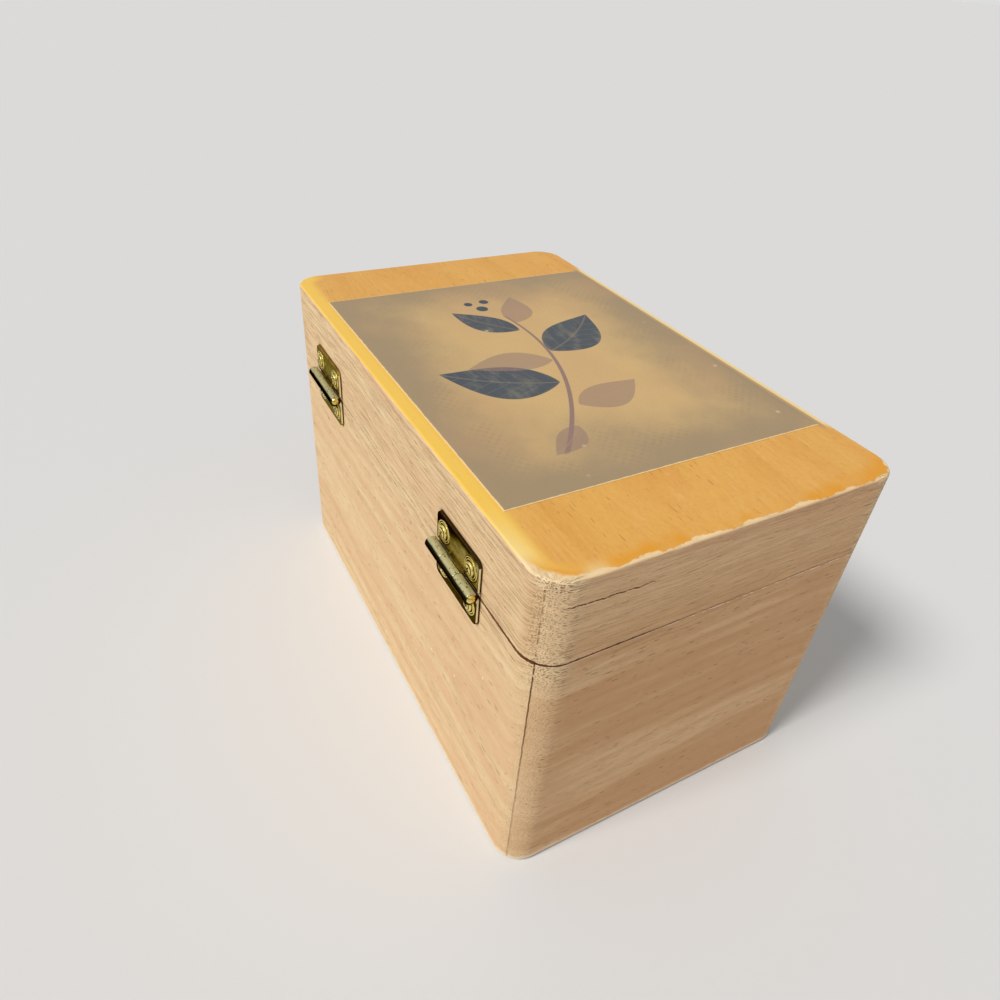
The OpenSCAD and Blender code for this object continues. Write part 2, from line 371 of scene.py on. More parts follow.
    def blend(self, share: Feed, first: Feed, second: Feed) -> Value:
        """A colour between two others, with a share of the second."""
        return self.value("ShaderNodeMix", {0: share, 6: first, 7: second}, 2, data_type="RGBA")


class SocketKind(Enum):
    """The kinds of input and output that a node group has."""

    NUMBER = "NodeSocketFloat"
    WHOLE = "NodeSocketInt"
    PLACE = "NodeSocketVector"
    TINT = "NodeSocketColor"
    SHAPE = "NodeSocketGeometry"
    FINISH = "NodeSocketMaterial"


class Effect:
    """A shader node group that several materials share, with named inputs and outputs."""

    name = "effect"
    inputs: dict[str, SocketKind] = {}
    outputs: dict[str, SocketKind] = {}
    _built: dict[str, bpy.types.NodeTree] = {}

    def draw(self, graph: Graph, given: dict) -> dict:
        """Builds the group's nodes.

        Args:
            graph: The graph of the group's tree.
            given: The group's inputs by name.

        Returns:
            What each of the group's outputs takes.
        """
        raise NotImplementedError

    def tree(self) -> bpy.types.NodeTree:
        """The group's tree, built the first time it is asked for.

        Returns:
            The tree.
        """
        if self.name in self._built:
            return self._built[self.name]
        tree = bpy.data.node_groups.new(self.name, "ShaderNodeTree")
        for name, kind in self.inputs.items():
            tree.interface.new_socket(name=name, in_out="INPUT", socket_type=kind.value)
        for name, kind in self.outputs.items():
            tree.interface.new_socket(name=name, in_out="OUTPUT", socket_type=kind.value)
        graph = Graph(tree)
        given = graph.outputs(graph.add("NodeGroupInput"))
        graph.add("NodeGroupOutput", self.draw(graph, given))
        self._built[self.name] = tree
        return tree

    def use(self, graph: Graph, **feeds: Feed) -> dict[str, Value]:
        """Places the group in a material.

        Args:
            graph: The material's graph.
            feeds: What each input takes, with _ for the spaces in its name.

        Returns:
            The group's outputs by name.
        """
        node = graph.add("ShaderNodeGroup", node_tree=self.tree())
        for name, value in feeds.items():
            graph.feed(node.inputs[name.replace("_", " ")], value)
        return graph.outputs(node)


class WoodGrain(Effect):
    """Solid wood with the grain along X: growth rings, fine lines, blush and open pores.

    The pattern fills space. The fine lines follow the growth rings round a rounded corner, and
    where a surface cuts across the fibres the open pores show as a dense stipple.
    """

    name = "wood_grain"
    inputs = {"place": SocketKind.PLACE, "light": SocketKind.TINT, "dark": SocketKind.TINT,
              "pore": SocketKind.TINT, "blush": SocketKind.TINT, "pith": SocketKind.PLACE,
              "ring width": SocketKind.NUMBER, "rings": SocketKind.NUMBER,
              "lines": SocketKind.NUMBER, "pores": SocketKind.NUMBER, "end grain": SocketKind.NUMBER}
    outputs = {"colour": SocketKind.TINT, "height": SocketKind.NUMBER, "pore mask": SocketKind.NUMBER}
    # Honey tint of the pale grain lines and of the painted highlights round the pores.
    honey = (1.0, 0.86, 0.56, 1.0)

    def draw(self, graph: Graph, given: dict) -> dict:
        """Builds the rings, lines, blush and pores. See Effect.draw for Args and Returns."""
        place, lines = given["place"], given["lines"]
        x, _, _ = graph.split(place)
        drift = graph.noise(place, (0.006, 0.014, 0.014)) * 16.0
        wobble = graph.noise(place, (0.02, 0.13, 0.13), 1.0) * 1.6
        from_pith = graph.vector("MULTIPLY", graph.vector("SUBTRACT", place, given["pith"]), (0, 1, 1))
        radius = graph.length(from_pith) + drift + wobble
        _, aside, above = graph.split(from_pith)
        swept = graph.math("ARCTAN2", above, aside) * 40.0

        phase = graph.math("FRACT", radius / given["ring width"])
        late = graph.step(phase, 0.35, 0.9) - graph.step(phase, 0.92, 1.0)
        line = graph.noise(graph.join(x, radius, swept), (0.07, 2.3, 0.5), 4.0, 0.72)
        dark_line, pale_line = graph.step(line, 0.5, 0.66), graph.step(line, 0.45, 0.32)
        fibre = graph.noise(place, (0.3, 3.0, 3.0), 3.0, 0.7)
        mottle = graph.patches(place, (0.09, 0.36, 0.36), (0.36, 0.66), 5.0, 0.66)
        blush = graph.patches(place, (0.008, 0.07, 0.085), (0.4, 0.62), 3.0, 0.6)
        opened = graph.noise(place, (0.22, 2.3, 2.3), 1.0, 0.4)
        crowding = graph.noise(place, (0.02, 0.12, 0.12), 1.0) * 0.14
        pore = (graph.step(opened + crowding, 0.775, 0.845) * given["pores"]).clamped()
        dot, rim = self.stipple(graph, place, given["end grain"])
        hole = graph.most(pore, dot)

        shade = (late * given["rings"] + mottle * 0.22 + (fibre - 0.5) * 1.1).clamped()
        colour = graph.blend(shade, given["light"], given["dark"])
        colour = graph.blend(blush * 0.6, colour, given["blush"])
        colour = graph.blend(dark_line * lines * 0.7, colour, given["dark"])
        # Pale grain lines, and the pores' rims as painted highlights.
        pale = graph.most(pale_line * lines * 0.42, rim * 0.8)
        colour = graph.blend(pale, colour, graph.blend(0.55, given["light"], self.honey))
        colour = graph.blend(hole, colour, given["pore"])
        height = fibre - dark_line * lines * 0.9 - hole * 1.6
        return {"colour": colour, "height": height, "pore mask": hole}

    def stipple(self, graph: Graph, place: Feed, end_grain: Feed) -> tuple[Value, ...]:
        """The pores as dots, with painted highlights as pale rims round them, where the fibres are cut across.

        Args:
            graph: The group's graph.
            place: The place in millimetres, with the grain along X.
            end_grain: How much the surface cuts across the fibres.

        Returns:
            A mask of the dots and one of their rims, the painted highlights.
        """
        _, across, above = graph.split(place)
        warp = graph.noise(place, (0.5, 0.8, 0.8)) * 1.4
        spread = graph.join(across * 2.3 + warp, above * 2.1 + warp)
        cells = graph.outputs(graph.add("ShaderNodeTexVoronoi", {"Vector": spread, "Scale": 1.0},
                                        voronoi_dimensions="2D"))
        chance, _, _ = graph.split(cells["Color"])
        dot = graph.step(cells["Distance"], 0.38, 0.14) * graph.step(chance, 1.0, 0.4) * 0.75
        # The rims are painted highlights.
        rim = graph.band(cells["Distance"], (0.3, 0.45), (0.6, 0.8))
        return dot * end_grain, rim * end_grain


class Inset(Effect):
    """How far a place lies inside the box's rounded outline, seen from above."""

    name = "inset"
    inputs = {"place": SocketKind.PLACE, "half length": SocketKind.NUMBER,
              "half depth": SocketKind.NUMBER, "corner": SocketKind.NUMBER}
    outputs = {"inset": SocketKind.NUMBER}

    def draw(self, graph: Graph, given: dict) -> dict:
        """Measures to the rounded outline. See Effect.draw for Args and Returns."""
        x, y, _ = graph.split(graph.vector("ABSOLUTE", given["place"]))
        beyond_x = x - (given["half length"] - given["corner"])
        beyond_y = y - (given["half depth"] - given["corner"])
        outer = graph.length(graph.join(graph.most(beyond_x, 0.0), graph.most(beyond_y, 0.0)))
        inner = graph.least(graph.most(beyond_x, beyond_y), 0.0)
        return {"inset": given["corner"] - outer - inner}


class Dust(Effect):
    """Small scattered flecks, for wood dust and lint."""

    name = "dust"
    inputs = {"place": SocketKind.PLACE, "per mm": SocketKind.NUMBER, "share": SocketKind.NUMBER}
    outputs = {"flecks": SocketKind.NUMBER}

    def draw(self, graph: Graph, given: dict) -> dict:
        """Keeps the middles of a few cells. See Effect.draw for Args and Returns."""
        spread = graph.scaled(given["place"], given["per mm"])
        cells = graph.outputs(graph.add("ShaderNodeTexVoronoi", {"Vector": spread, "Scale": 1.0}))
        chance, _, _ = graph.split(cells["Color"])
        kept = graph.math("LESS_THAN", chance, given["share"])
        return {"flecks": graph.step(cells["Distance"], 0.16, 0.05) * kept}


class Tarnish(Effect):
    """Handled plated metal: faint dull clouds, fine scratches and specks."""

    name = "tarnish"
    inputs = {"place": SocketKind.PLACE, "bright": SocketKind.TINT, "dull": SocketKind.TINT,
              "amount": SocketKind.NUMBER}
    outputs = {"colour": SocketKind.TINT, "roughness": SocketKind.NUMBER, "height": SocketKind.NUMBER}

    def draw(self, graph: Graph, given: dict) -> dict:
        """Builds the clouds, scratches and specks. See Effect.draw for Args and Returns."""
        place = given["place"]
        cloud = graph.patches(place, 0.3, (0.38, 0.66), 3.0, 0.55)
        speck = graph.patches(place, 2.6, (0.64, 0.72), 2.0, 0.6)
        scratch = graph.patches(place, (0.5, 7.0, 7.0), (0.62, 0.72), 1.0)
        dulled = (cloud * given["amount"] + speck * 0.5).clamped()
        return {"colour": graph.blend(dulled, given["bright"], given["dull"]),
                "roughness": 0.15 + cloud * 0.06 + speck * 0.2 + scratch * 0.05,
                "height": scratch * -0.25 - speck * 0.8}


class LeafShape(Effect):
    """One pointed leaf with its midrib and side veins, lying on the plane of X and Y."""

    name = "leaf_shape"
    inputs = {"place": SocketKind.PLACE, "foot": SocketKind.PLACE, "turn": SocketKind.NUMBER,
              "length": SocketKind.NUMBER, "width": SocketKind.NUMBER, "bend": SocketKind.NUMBER}
    outputs = {"leaf": SocketKind.NUMBER, "veins": SocketKind.NUMBER}

    def draw(self, graph: Graph, given: dict) -> dict:
        """Turns the place to the leaf's own line. See Effect.draw for Args and Returns."""
        x, y, _ = graph.split(graph.vector("SUBTRACT", given["place"], given["foot"]))
        cosine, sine = graph.math("COSINE", given["turn"]), graph.math("SINE", given["turn"])
        along = x * cosine + y * sine
        share = (along / given["length"]).clamped()
        beside = abs(y * cosine - x * sine + share * (1.0 - share) * given["bend"])
        swell = graph.math("SINE", share ** 0.78 * math.pi)
        leaf = graph.step(swell * given["width"] * 0.5 - beside, 0.0, 0.35)
        rhythm = graph.math("PINGPONG", along - beside * 0.9, 2.6)
        rib, side = graph.step(beside, 0.42, 0.16), graph.step(rhythm, 0.3, 0.12) * 0.55
        return {"leaf": leaf, "veins": graph.most(rib, side) * leaf}


WOOD_GRAIN, INSET, DUST, TARNISH, LEAF_SHAPE = WoodGrain(), Inset(), Dust(), Tarnish(), LeafShape()


@dataclass(frozen=True)
class Spot:
    """A place on the object in millimetres, whole and as its three numbers."""

    place: Value
    x: Value
    y: Value
    z: Value

    @classmethod
    def of(cls, graph: Graph, place: Value) -> "Spot":
        """Splits a place."""
        return cls(place, *graph.split(place))


@dataclass(frozen=True)
class BoxSizes:
    """The box's main sizes in millimetres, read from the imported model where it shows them."""

    half_length: float
    half_depth: float
    top: float
    body_rim: float
    lid_rim: float
    lap: float
    corner: float = 9.0
    arris: float = 0.8

    @classmethod
    def of_frame(cls) -> "BoxSizes":
        """Reads the sizes from the nodes' boxes.

        Returns:
            The sizes.
        """
        corner, board_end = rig.box("lid_top_panel")[1] / MM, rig.box("body_back_wall")[1] / MM
        return cls(half_length=corner.x, half_depth=corner.y, top=corner.z, body_rim=board_end.z,
                   lid_rim=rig.box("lid_back_wall")[0].z / MM, lap=corner.x - board_end.x)

    def inset(self, graph: Graph, at: Spot) -> Value:
        """How far a spot lies inside the box's outline."""
        return INSET.use(graph, place=at.place, half_length=self.half_length,
                         half_depth=self.half_depth, corner=self.corner)["inset"]

    def figured(self, graph: Graph, height: Feed) -> Value:
        """Rises from 0 in the body to 1 in the lid, where the grain shows more."""
        return graph.step(height, self.body_rim - 6.3, self.lid_rim + 9.3)

    def from_left_back(self, graph: Graph, at: Spot) -> Value:
        """How far a spot is from the corner between the left end and the back, seen from above."""
        return graph.length(graph.join(at.x + self.half_length, at.y - self.half_depth))

    def from_any_corner(self, graph: Graph, at: Spot) -> Value:
        """How far a spot is from the nearest upright corner, seen from above."""
        return graph.length(graph.join(abs(at.x) - self.half_length, abs(at.y) - self.half_depth))


@dataclass(frozen=True)
class HingeSizes:
    """The hinges' sizes in millimetres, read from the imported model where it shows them."""

    axis: Vector
    centre: float
    half_length: float
    leaf_height: float
    knuckle: float
    screw_drop: float
    screw_step: float
    screw_head: float = 4.3
    leaf_corner: float = 2.0

    @classmethod
    def of_frame(cls) -> "HingeSizes":
        """Reads the sizes from the boxes of the right hinge and of the body's screws.

        Returns:
            The sizes.
        """
        low, high = (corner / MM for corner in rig.box("right_hinge_body_leaf"))
        pin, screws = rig.box("right_hinge_pin"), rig.box("body_hinge_screws")
        axis, centre = (pin[0] + pin[1]) / 2 / MM, (low.x + high.x) / 2
        return cls(axis=axis, centre=centre, half_length=(high.x - low.x) / 2,
                   leaf_height=axis.z - low.z, knuckle=high.z - axis.z,
                   screw_drop=axis.z - (screws[0].z + screws[1].z) / 2 / MM,
                   screw_step=screws[1].x / MM - cls.screw_head / 2 - centre)

    def around(self, at: Spot) -> tuple[Value, Value]:
        """A spot's place along and above the pin, from the middle of the nearer hinge."""
        return abs(at.x) - self.centre, at.z - self.axis.z

    def inset(self, graph: Graph, at: Spot) -> Value:
        """How far a spot lies inside the outline of the nearer hinge's two leaves."""
        return INSET.use(graph, place=graph.join(*self.around(at)), half_length=self.half_length,
                         half_depth=self.leaf_height, corner=self.leaf_corner)["inset"]

    def from_screw(self, at: Spot) -> tuple[Value, Value]:
        """A spot's distances from the nearest screw's axis, along and across the hinge."""
        along, up = self.around(at)
        return abs(along) - self.screw_step, abs(up) - self.screw_drop


SIZES, HINGE = BoxSizes.of_frame(), HingeSizes.of_frame()


class Finish:
    """A surface finish, which is one material."""

    name: str

    def dress(self, graph: Graph, at: Spot) -> dict:
        """Builds the finish.

        Args:
            graph: The material's graph.
            at: The spot on the object.

        Returns:
            What each input of the surface shader takes. "Height" goes through a bump.
        """
        raise NotImplementedError

    def material(self) -> bpy.types.Material:
        """The finish as a material, built once.

        Returns:
            The material.
        """
        if self.name in bpy.data.materials:
            return bpy.data.materials[self.name]
        material = bpy.data.materials.new(self.name)
        material.use_nodes = True
        material.node_tree.nodes.clear()
        graph = Graph(material.node_tree)
        place = graph.scaled(graph.add("ShaderNodeTexCoord").outputs["Object"], 1 / MM)
        feeds = self.dress(graph, Spot.of(graph, place))
        height, relief = feeds.pop("Height"), feeds.pop("Relief")
        bump = {"Height": height, "Distance": relief * MM, "Strength": 1.0}
        feeds["Normal"] = graph.value("ShaderNodeBump", bump)
        shader = graph.add("ShaderNodeBsdfPrincipled", feeds)
        graph.add("ShaderNodeOutputMaterial", {0: shader.outputs[0]})
        return material


@dataclass(frozen=True)
class Timber:
    """One wood's colours and figure."""

    light: Colour
    dark: Colour
    pore: Colour
    blush: Colour
    pith_mm: tuple[float, float]
    ring_width_mm: float
    rings: float
    pores: float
    offset_mm: tuple[float, float, float] = (0.0, 0.0, 0.0)

    def figure(self, graph: Graph, place: Feed, lines: Feed, end_grain: Feed = 0.0) -> dict[str, Value]:
        """Reads the wood at a place.

        Args:
            graph: The material's graph.
            place: The place in millimetres, with the grain along X.
            lines: How strong the fine lines are.
            end_grain: How much the surface cuts across the fibres.

        Returns:
            The colour, height and pore mask.
        """
        return WOOD_GRAIN.use(
            graph, place=graph.vector("ADD", place, self.offset_mm), light=self.light, dark=self.dark,
            pore=self.pore, blush=self.blush, pith=(0.0, *self.pith_mm), ring_width=self.ring_width_mm,
            rings=self.rings, lines=lines, pores=self.pores, end_grain=end_grain)


class Grain(Enum):
    """The way a board's grain runs, as the order in which its place is read."""

    ALONG_LENGTH = (0, 1, 2)
    ALONG_DEPTH = (1, 0, 2)

    def read(self, graph: Graph, at: Spot) -> Value:
        """Turns the spot's place so that the grain runs along X."""
        parts = (at.x, at.y, at.z)
        return graph.join(*(parts[i] for i in self.value))


@dataclass(frozen=True)
class BareWood(Finish):
    """Bare sanded board. Lid and body share it, because they were sawn from one board."""

    name: str
    timber: Timber
    grain: Grain
    body_lines: float = 0.22
    lid_lines: float = 1.0
    end_grain_reach_mm: float = -3.5
    check: bool = False
    hinged: bool = False
    gap_shade_mm: float = 0.16
    chipped: float = 0.1
    lid_paleness: float = 0.0
    # Near the upright corners: a darker brown in the long boards' lid; the end boards pass a pale cream, which is a
    # painted highlight.
    corner_highlight_and_tone: Colour = paint(188, 134, 86)
    corner_share: tuple[float, float] = (0.0, 0.35)
    # Dark brown of the joint line and the check. It is also the painted shade beside the saw cut and round the hinge
    # leaves.
    dark_line_and_shade: Colour = paint(92, 40, 0)
    # Pale wood of the chips and dust, also used for the painted highlights on the foot and front.
    pale: Colour = paint(255, 240, 214)
    check_lip: Colour = paint(250, 212, 160)
    glance: Colour = paint(255, 228, 190)

    def wood(self, graph: Graph, at: Spot) -> dict[str, Value]:
        """The board's own figure, strong in the lid and soft in the body.

        Args:
            graph: The material's graph.
            at: The spot on the object.

        Returns:
            The colour, height and pore mask.
        """
        drift = graph.noise(at.place, 0.03)
        figured = SIZES.figured(graph, drift * 14.0 + at.z)
        lines = figured * (self.lid_lines - self.body_lines) + self.body_lines
        along_length = self.grain is Grain.ALONG_LENGTH
        across, half = (at.x, SIZES.half_length) if along_length else (at.y, SIZES.half_depth)
        start = half - SIZES.corner - self.end_grain_reach_mm
        cut = graph.step(drift * 5.0 + abs(across), start + 1.5, start + 5.0) * (figured * 0.7 + 0.3)
        return self.timber.figure(graph, self.grain.read(graph, at), lines, cut)

    def dress(self, graph: Graph, at: Spot) -> dict:
        """Adds painted highlights and tones, the corner joint, the saw cut with painted shade beside it, a painted
        shadow round the hinge leaves, and dust to the wood. See Finish.dress.
        """
        wood = self.wood(graph, at)
        colour = self.painted_highlights(graph, at, wood["colour"])
        joint, seen = self.joint(graph, at)
        colour = graph.blend(seen, colour, self.dark_line_and_shade)
        height = wood["height"] - joint * 1.6
        gap_shade, chips = self.saw_cut(graph, at)
        colour = graph.blend(chips, colour, self.pale)
        colour = graph.blend(gap_shade, colour, self.dark_line_and_shade)
        if self.hinged:
            # Painted contact shadow round the hinge leaves.
            colour = graph.blend(self.leaf_contact_shadow(graph, at), colour, self.dark_line_and_shade)
        if self.check:
            crack, lip = self.crack(graph, at)
            colour = graph.blend(lip * 0.5, colour, self.check_lip)
            colour = graph.blend(crack * 0.92, colour, self.dark_line_and_shade)
            height = height - crack * 3.0
        flecks = DUST.use(graph, place=at.place, per_mm=0.24, share=0.03)["flecks"]
        return {"Base Color": graph.blend(flecks * 0.7, colour, self.pale),
                "Roughness": wood["pore mask"] * 0.15 + 0.66, "Specular IOR Level": 0.12,
                "Specular Tint": self.glance, "Height": height, "Relief": 0.12}

    def painted_highlights(self, graph: Graph, at: Spot, colour: Feed) -> Value:
        """Paints highlights on the foot and along the front, lightens the lid, and tones the wood near the upright
        corners.

        Args:
            graph: The material's graph.
            at: The spot on the object.
            colour: The wood's own colour.

        Returns:
            The colour with its painted highlights and tones.
        """
        # Painted highlight: the foot's rounded arris, and the front within a few millimetres of its plane, go towards
        # the pale colour.
        foot = graph.step(graph.noise(at.place, 0.35) * 1.8 + at.z, 3.9, 2.2) * 0.75
        upright = graph.step(at.y + SIZES.half_depth, 4.5, 2.0) * 0.6
        colour = graph.blend(graph.most(foot, upright) * 0.85, colour, self.pale)
        high = SIZES.figured(graph, at.z)
        colour = graph.blend(high * self.lid_paleness, colour, self.timber.light)
        # Corner tone: a painted highlight on the end boards, a darker brown on the long boards.
        in_body, in_lid = self.corner_share
        share = high * (in_lid - in_body) + in_body
        near_corner = graph.step(SIZES.from_any_corner(graph, at), 9.5, 5.0)
        return graph.blend(near_corner * share, colour, self.corner_highlight_and_tone)

    def joint(self, graph: Graph, at: Spot) -> tuple[Value, ...]:
        """The line where an end board laps over a long board, open and dark in places.

        Args:
            graph: The material's graph.
            at: The spot on the object.

        Returns:
            A mask of the open line and one of how dark it shows.
        """
        in_lid = graph.step(at.z, SIZES.body_rim, SIZES.lid_rim)
        gaps = graph.noise(at.place, 0.5, 3.0, 0.7) - in_lid * 0.12
        bend = graph.noise(at.place, (0.0, 0.0, 0.25)) * 0.5 - 0.25
        line = abs(SIZES.half_length - SIZES.lap - abs(at.x) + bend)
        joint = graph.step(line, 0.22, 0.07) * graph.step(gaps, 0.3, 0.44)
        faint = graph.step(at.z, 20.0, 82.0) * 0.68 + 0.2
        return joint, joint * faint * (1.0 - in_lid * 0.5)

    def saw_cut(self, graph: Graph, at: Spot) -> tuple[Value, ...]:
        """Painted shade on both sides of the saw cut between lid and body: wide and dark near the upright corner, fine
        and chipped further on.

        Args:
            graph: The material's graph.
            at: The spot on the object.

        Returns:
            A mask of the painted shade beside the cut and one of the pale chips under it.
        """
        above = at.z - (SIZES.body_rim + SIZES.lid_rim) / 2
        ragged = graph.noise(at.place, (0.55, 0.55, 0.0), 3.0, 0.7) - 0.5
        near = graph.step(SIZES.from_left_back(graph, at), 62.0, 16.0)
        wide = near * self.gap_shade_mm + ragged * 0.9 + 0.12
        outside = graph.step(SIZES.inset(graph, at), 0.45, 0.25)
        # Painted shade: this dark strip along the narrowed gap stands in for the shade inside it.
        gap_shade = graph.step(abs(above) - wide, 0.06, -0.06) * (near * 0.45 + 0.48)
        chips = graph.step(abs(above + 0.42), 0.3, 0.1) * graph.step(ragged, -0.04, 0.04)
        return gap_shade * outside, chips * (1.0 - near * 0.5) * self.chipped * outside

    def leaf_contact_shadow(self, graph: Graph, at: Spot) -> Value:
        """The painted shadow line round each hinge leaf, where the wood meets the brass.

        Args:
            graph: The material's graph.
            at: The spot on the object.

        Returns:
            A mask of the line.
        """
        line = graph.band(HINGE.inset(graph, at), (-0.5, -0.25), (0.1, 0.3))
        return line * graph.step(SIZES.half_depth - at.y, 0.5, 0.3) * 0.8

    def crack(self, graph: Graph, at: Spot) -> tuple[Value, ...]:
        """The thin dark check in the lid's end face, as a broken line along the grain.

        Args:
            graph: The material's graph.
            at: The spot on the object.

        Returns:
            A mask of the check and one of the pale lip under it.
        """
        waver = (graph.noise(at.place, (0, 0.3, 0), 3.0) - 0.5) * 1.8
        above = at.z - (SIZES.top - 9.6) - at.y * 0.036 + waver
        width = graph.noise(at.place, (0, 1.1, 0.3), 4.0, 0.8) * 0.72
        there = graph.band(at.y, (24.0, 31.0), (49.5, 53.0)) * graph.step(at.x + SIZES.half_length, 1.2, 0.6)
        thin = graph.step(width - abs(above), 0.16, 0.26)
        return thin * there, graph.step(abs(above + 0.5), 0.3, 0.1) * there


LONG_BOARD = BareWood(
    name="long_board", grain=Grain.ALONG_LENGTH, gap_shade_mm=0.42, lid_paleness=0.25, hinged=True,
    timber=Timber(light=paint(236, 208, 163), dark=paint(198, 149, 106), pore=paint(146, 88, 42),
                  blush=paint(226, 184, 141), pith_mm=(22.0, 40.0), ring_width_mm=4.2,
                  rings=0.22, pores=0.7))
FRONT_BOARD = BareWood(
    name="front_board", grain=Grain.ALONG_LENGTH, lid_lines=0.75,
    timber=Timber(light=paint(242, 206, 154), dark=paint(200, 146, 98), pore=paint(146, 88, 42),
                  blush=paint(230, 180, 132), pith_mm=(-24.0, 52.0), ring_width_mm=3.8,
                  rings=0.22, pores=0.7, offset_mm=(83.0, 0.0, 0.0)))


def end_board(name: str, pith_mm: tuple[float, float], ring_width_mm: float,
              offset_mm: tuple[float, float, float], check: bool) -> BareWood:
    """One of the two end boards, which are of one wood and show end grain at their corners.

    Args:
        name: The finish's name.
        pith_mm: Where the tree's middle lies from the board, across and up.
        ring_width_mm: The width of a growth ring.
        offset_mm: Where in the wood the board was cut.
        check: Whether its lid has the fine check.

    Returns:
        The board's finish.
    """
    timber = Timber(light=paint(228, 190, 146), dark=paint(186, 140, 98), pore=paint(104, 44, 0),
                    blush=paint(200, 148, 102), pith_mm=pith_mm, ring_width_mm=ring_width_mm,
                    rings=0.2, pores=0.7, offset_mm=offset_mm)
    # The end boards' pale corner tone is a painted highlight on their rounded corners.
    return BareWood(name=name, timber=timber, grain=Grain.ALONG_DEPTH, body_lines=0.16, lid_lines=0.75,
                    end_grain_reach_mm=1.5, check=check, chipped=0.7, lid_paleness=0.5,
                    corner_highlight_and_tone=paint(255, 236, 190), corner_share=(0.12, 0.14))


LEFT_BOARD = end_board("left_board", (-60.0, 10.0), 5.1, (0.0, 0.0, 0.0), check=True)
RIGHT_BOARD = end_board("right_board", (66.0, 34.0), 4.5, (41.0, 0.0, 9.0), check=False)


@dataclass(frozen=True)
class VarnishedPanel(Finish):
    """The lid's panel: amber varnish over wood, sanded back to pale wood along its left end."""

    name: str = "amber_varnish"
    timber: Timber = Timber(
        light=paint(234, 178, 88), dark=paint(212, 144, 52), pore=paint(140, 84, 28),
        blush=paint(232, 170, 84), pith_mm=(22.0, 60.0), ring_width_mm=9.5, rings=0.3, pores=0.8,
        offset_mm=(7.0, 13.0, 0.0))
    pool: Colour = paint(231, 158, 34)
    sunny: Colour = paint(255, 210, 88)
    sanded: Colour = paint(255, 228, 178)
    cream: Colour = paint(254, 228, 160)
    dull_band: Colour = paint(180, 152, 114)

    def dress(self, graph: Graph, at: Spot) -> dict:
        """Lays varnish over wood by the distance from the rim. See Finish.dress."""
        run = SIZES.inset(graph, at) + (at.z - SIZES.top)
        near_end = graph.step(at.x + SIZES.half_length, 14.0, 4.0)
        corner = SIZES.from_left_back(graph, at)
        corner_bare = graph.step(corner, 15.0, 3.0)
        edge = (graph.noise(at.place, 0.085, 4.0, 0.62) - 0.5) * 7.0
        over = run - edge * (near_end * 0.85 + 0.1) - (near_end * 0.95 - 0.2) - corner_bare * 1.8
        covered = graph.step((over + 0.1) / (corner_bare * 2.2 + 0.35), 0.0, 1.0)
        coat = covered * graph.step(at.z - SIZES.top, -SIZES.arris, -SIZES.arris / 2)

        under = self.timber.figure(graph, at.place, lines=0.42)
        amber = self.amber(graph, at, under["colour"], run, corner)
        gathered = graph.patches(at.place, 0.045, (0.47, 0.57)) * 0.85 + 0.1
        amber = graph.blend(graph.step(over, 6.5, 0.8) * near_end * gathered, amber, self.pool)
        amber = self.front_edge(graph, at, amber)

        on_end = graph.math("GREATER_THAN", abs(at.x), SIZES.half_length - SIZES.lap)
        end, side = LEFT_BOARD.wood(graph, at), LONG_BOARD.wood(graph, at)
        bare = graph.blend(on_end, side["colour"], end["colour"])
        bare_height = graph.blend(on_end, side["height"], end["height"])
        scuffed = graph.noise(at.place, (0.8, 0.25, 0.5), 3.0, 0.7) * 0.9 + 0.15
        bare = graph.blend(graph.step(run, -0.6, 0.2) * scuffed, bare, self.sanded)
        smear = graph.noise(at.place, (0.05, 0.3, 0.3), 3.0)
        return {"Base Color": graph.blend(coat, bare, amber),
                "Roughness": 0.66 - coat * 0.26 + smear * 0.1, "Specular IOR Level": 0.32,
                "Coat Weight": coat * 0.12, "Coat Roughness": 0.25,
                "Height": graph.blend(coat, bare_height, under["height"] * 0.15 + 1.0), "Relief": 0.1}

    def amber(self, graph: Graph, at: Spot, wood: Feed, run: Feed, corner: Feed) -> Value:
        """The varnish's colour: cloudy, sunlit along the back and cream towards the corner.

        Args:
            graph: The material's graph.
            at: The spot on the object.
            wood: The colour of the varnished wood.
            run: How far the spot is from the rim, over the arris.
            corner: How far it is from the corner between left end and back.

        Returns:
            The colour.
        """
        cloud = graph.patches(at.place, (0.02, 0.035, 0.05), (0.4, 0.62), 3.0)
        colour = graph.blend(cloud * 0.3, wood, self.timber.light)
        grit = graph.patches(at.place, 0.9, (0.45, 0.75), 3.0, 0.7)
        colour = graph.blend(grit * 0.3, colour, self.timber.dark)
        back = graph.step(SIZES.half_depth - at.y, 12.0, 5.0)
        colour = graph.blend(graph.step(run, 7.5, 3.0) * back * 0.85, colour, self.sunny)
        creamy = graph.step(corner, 34.0, 8.0) * graph.step(run, 6.5, 0.5)
        return graph.blend(creamy * 0.8, colour, self.cream)

    def front_edge(self, graph: Graph, at: Spot, amber: Feed) -> Value:
        """Dulls the narrow band before the picture to a grey-tan, and makes the strip in front of it pale cream.

        Args:
            graph: The material's graph.
            at: The spot on the object.
            amber: The varnish's colour.

        Returns:
            The colour with the dull band and the pale strip.
        """
        low, high = (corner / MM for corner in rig.box("cover_picture"))
        beside = graph.band(at.x, (low.x - 4.0, low.x + 1.0), (high.x - 1.0, high.x + 4.0))
        before = low.y - at.y
        dull_band = graph.band(before, (-0.6, -0.2), (1.3, 1.9)) * beside
        colour = graph.blend(dull_band * 0.9, amber, self.dull_band)
        return graph.blend(graph.step(before, 1.2, 2.0) * beside * 0.85, colour, self.cream)


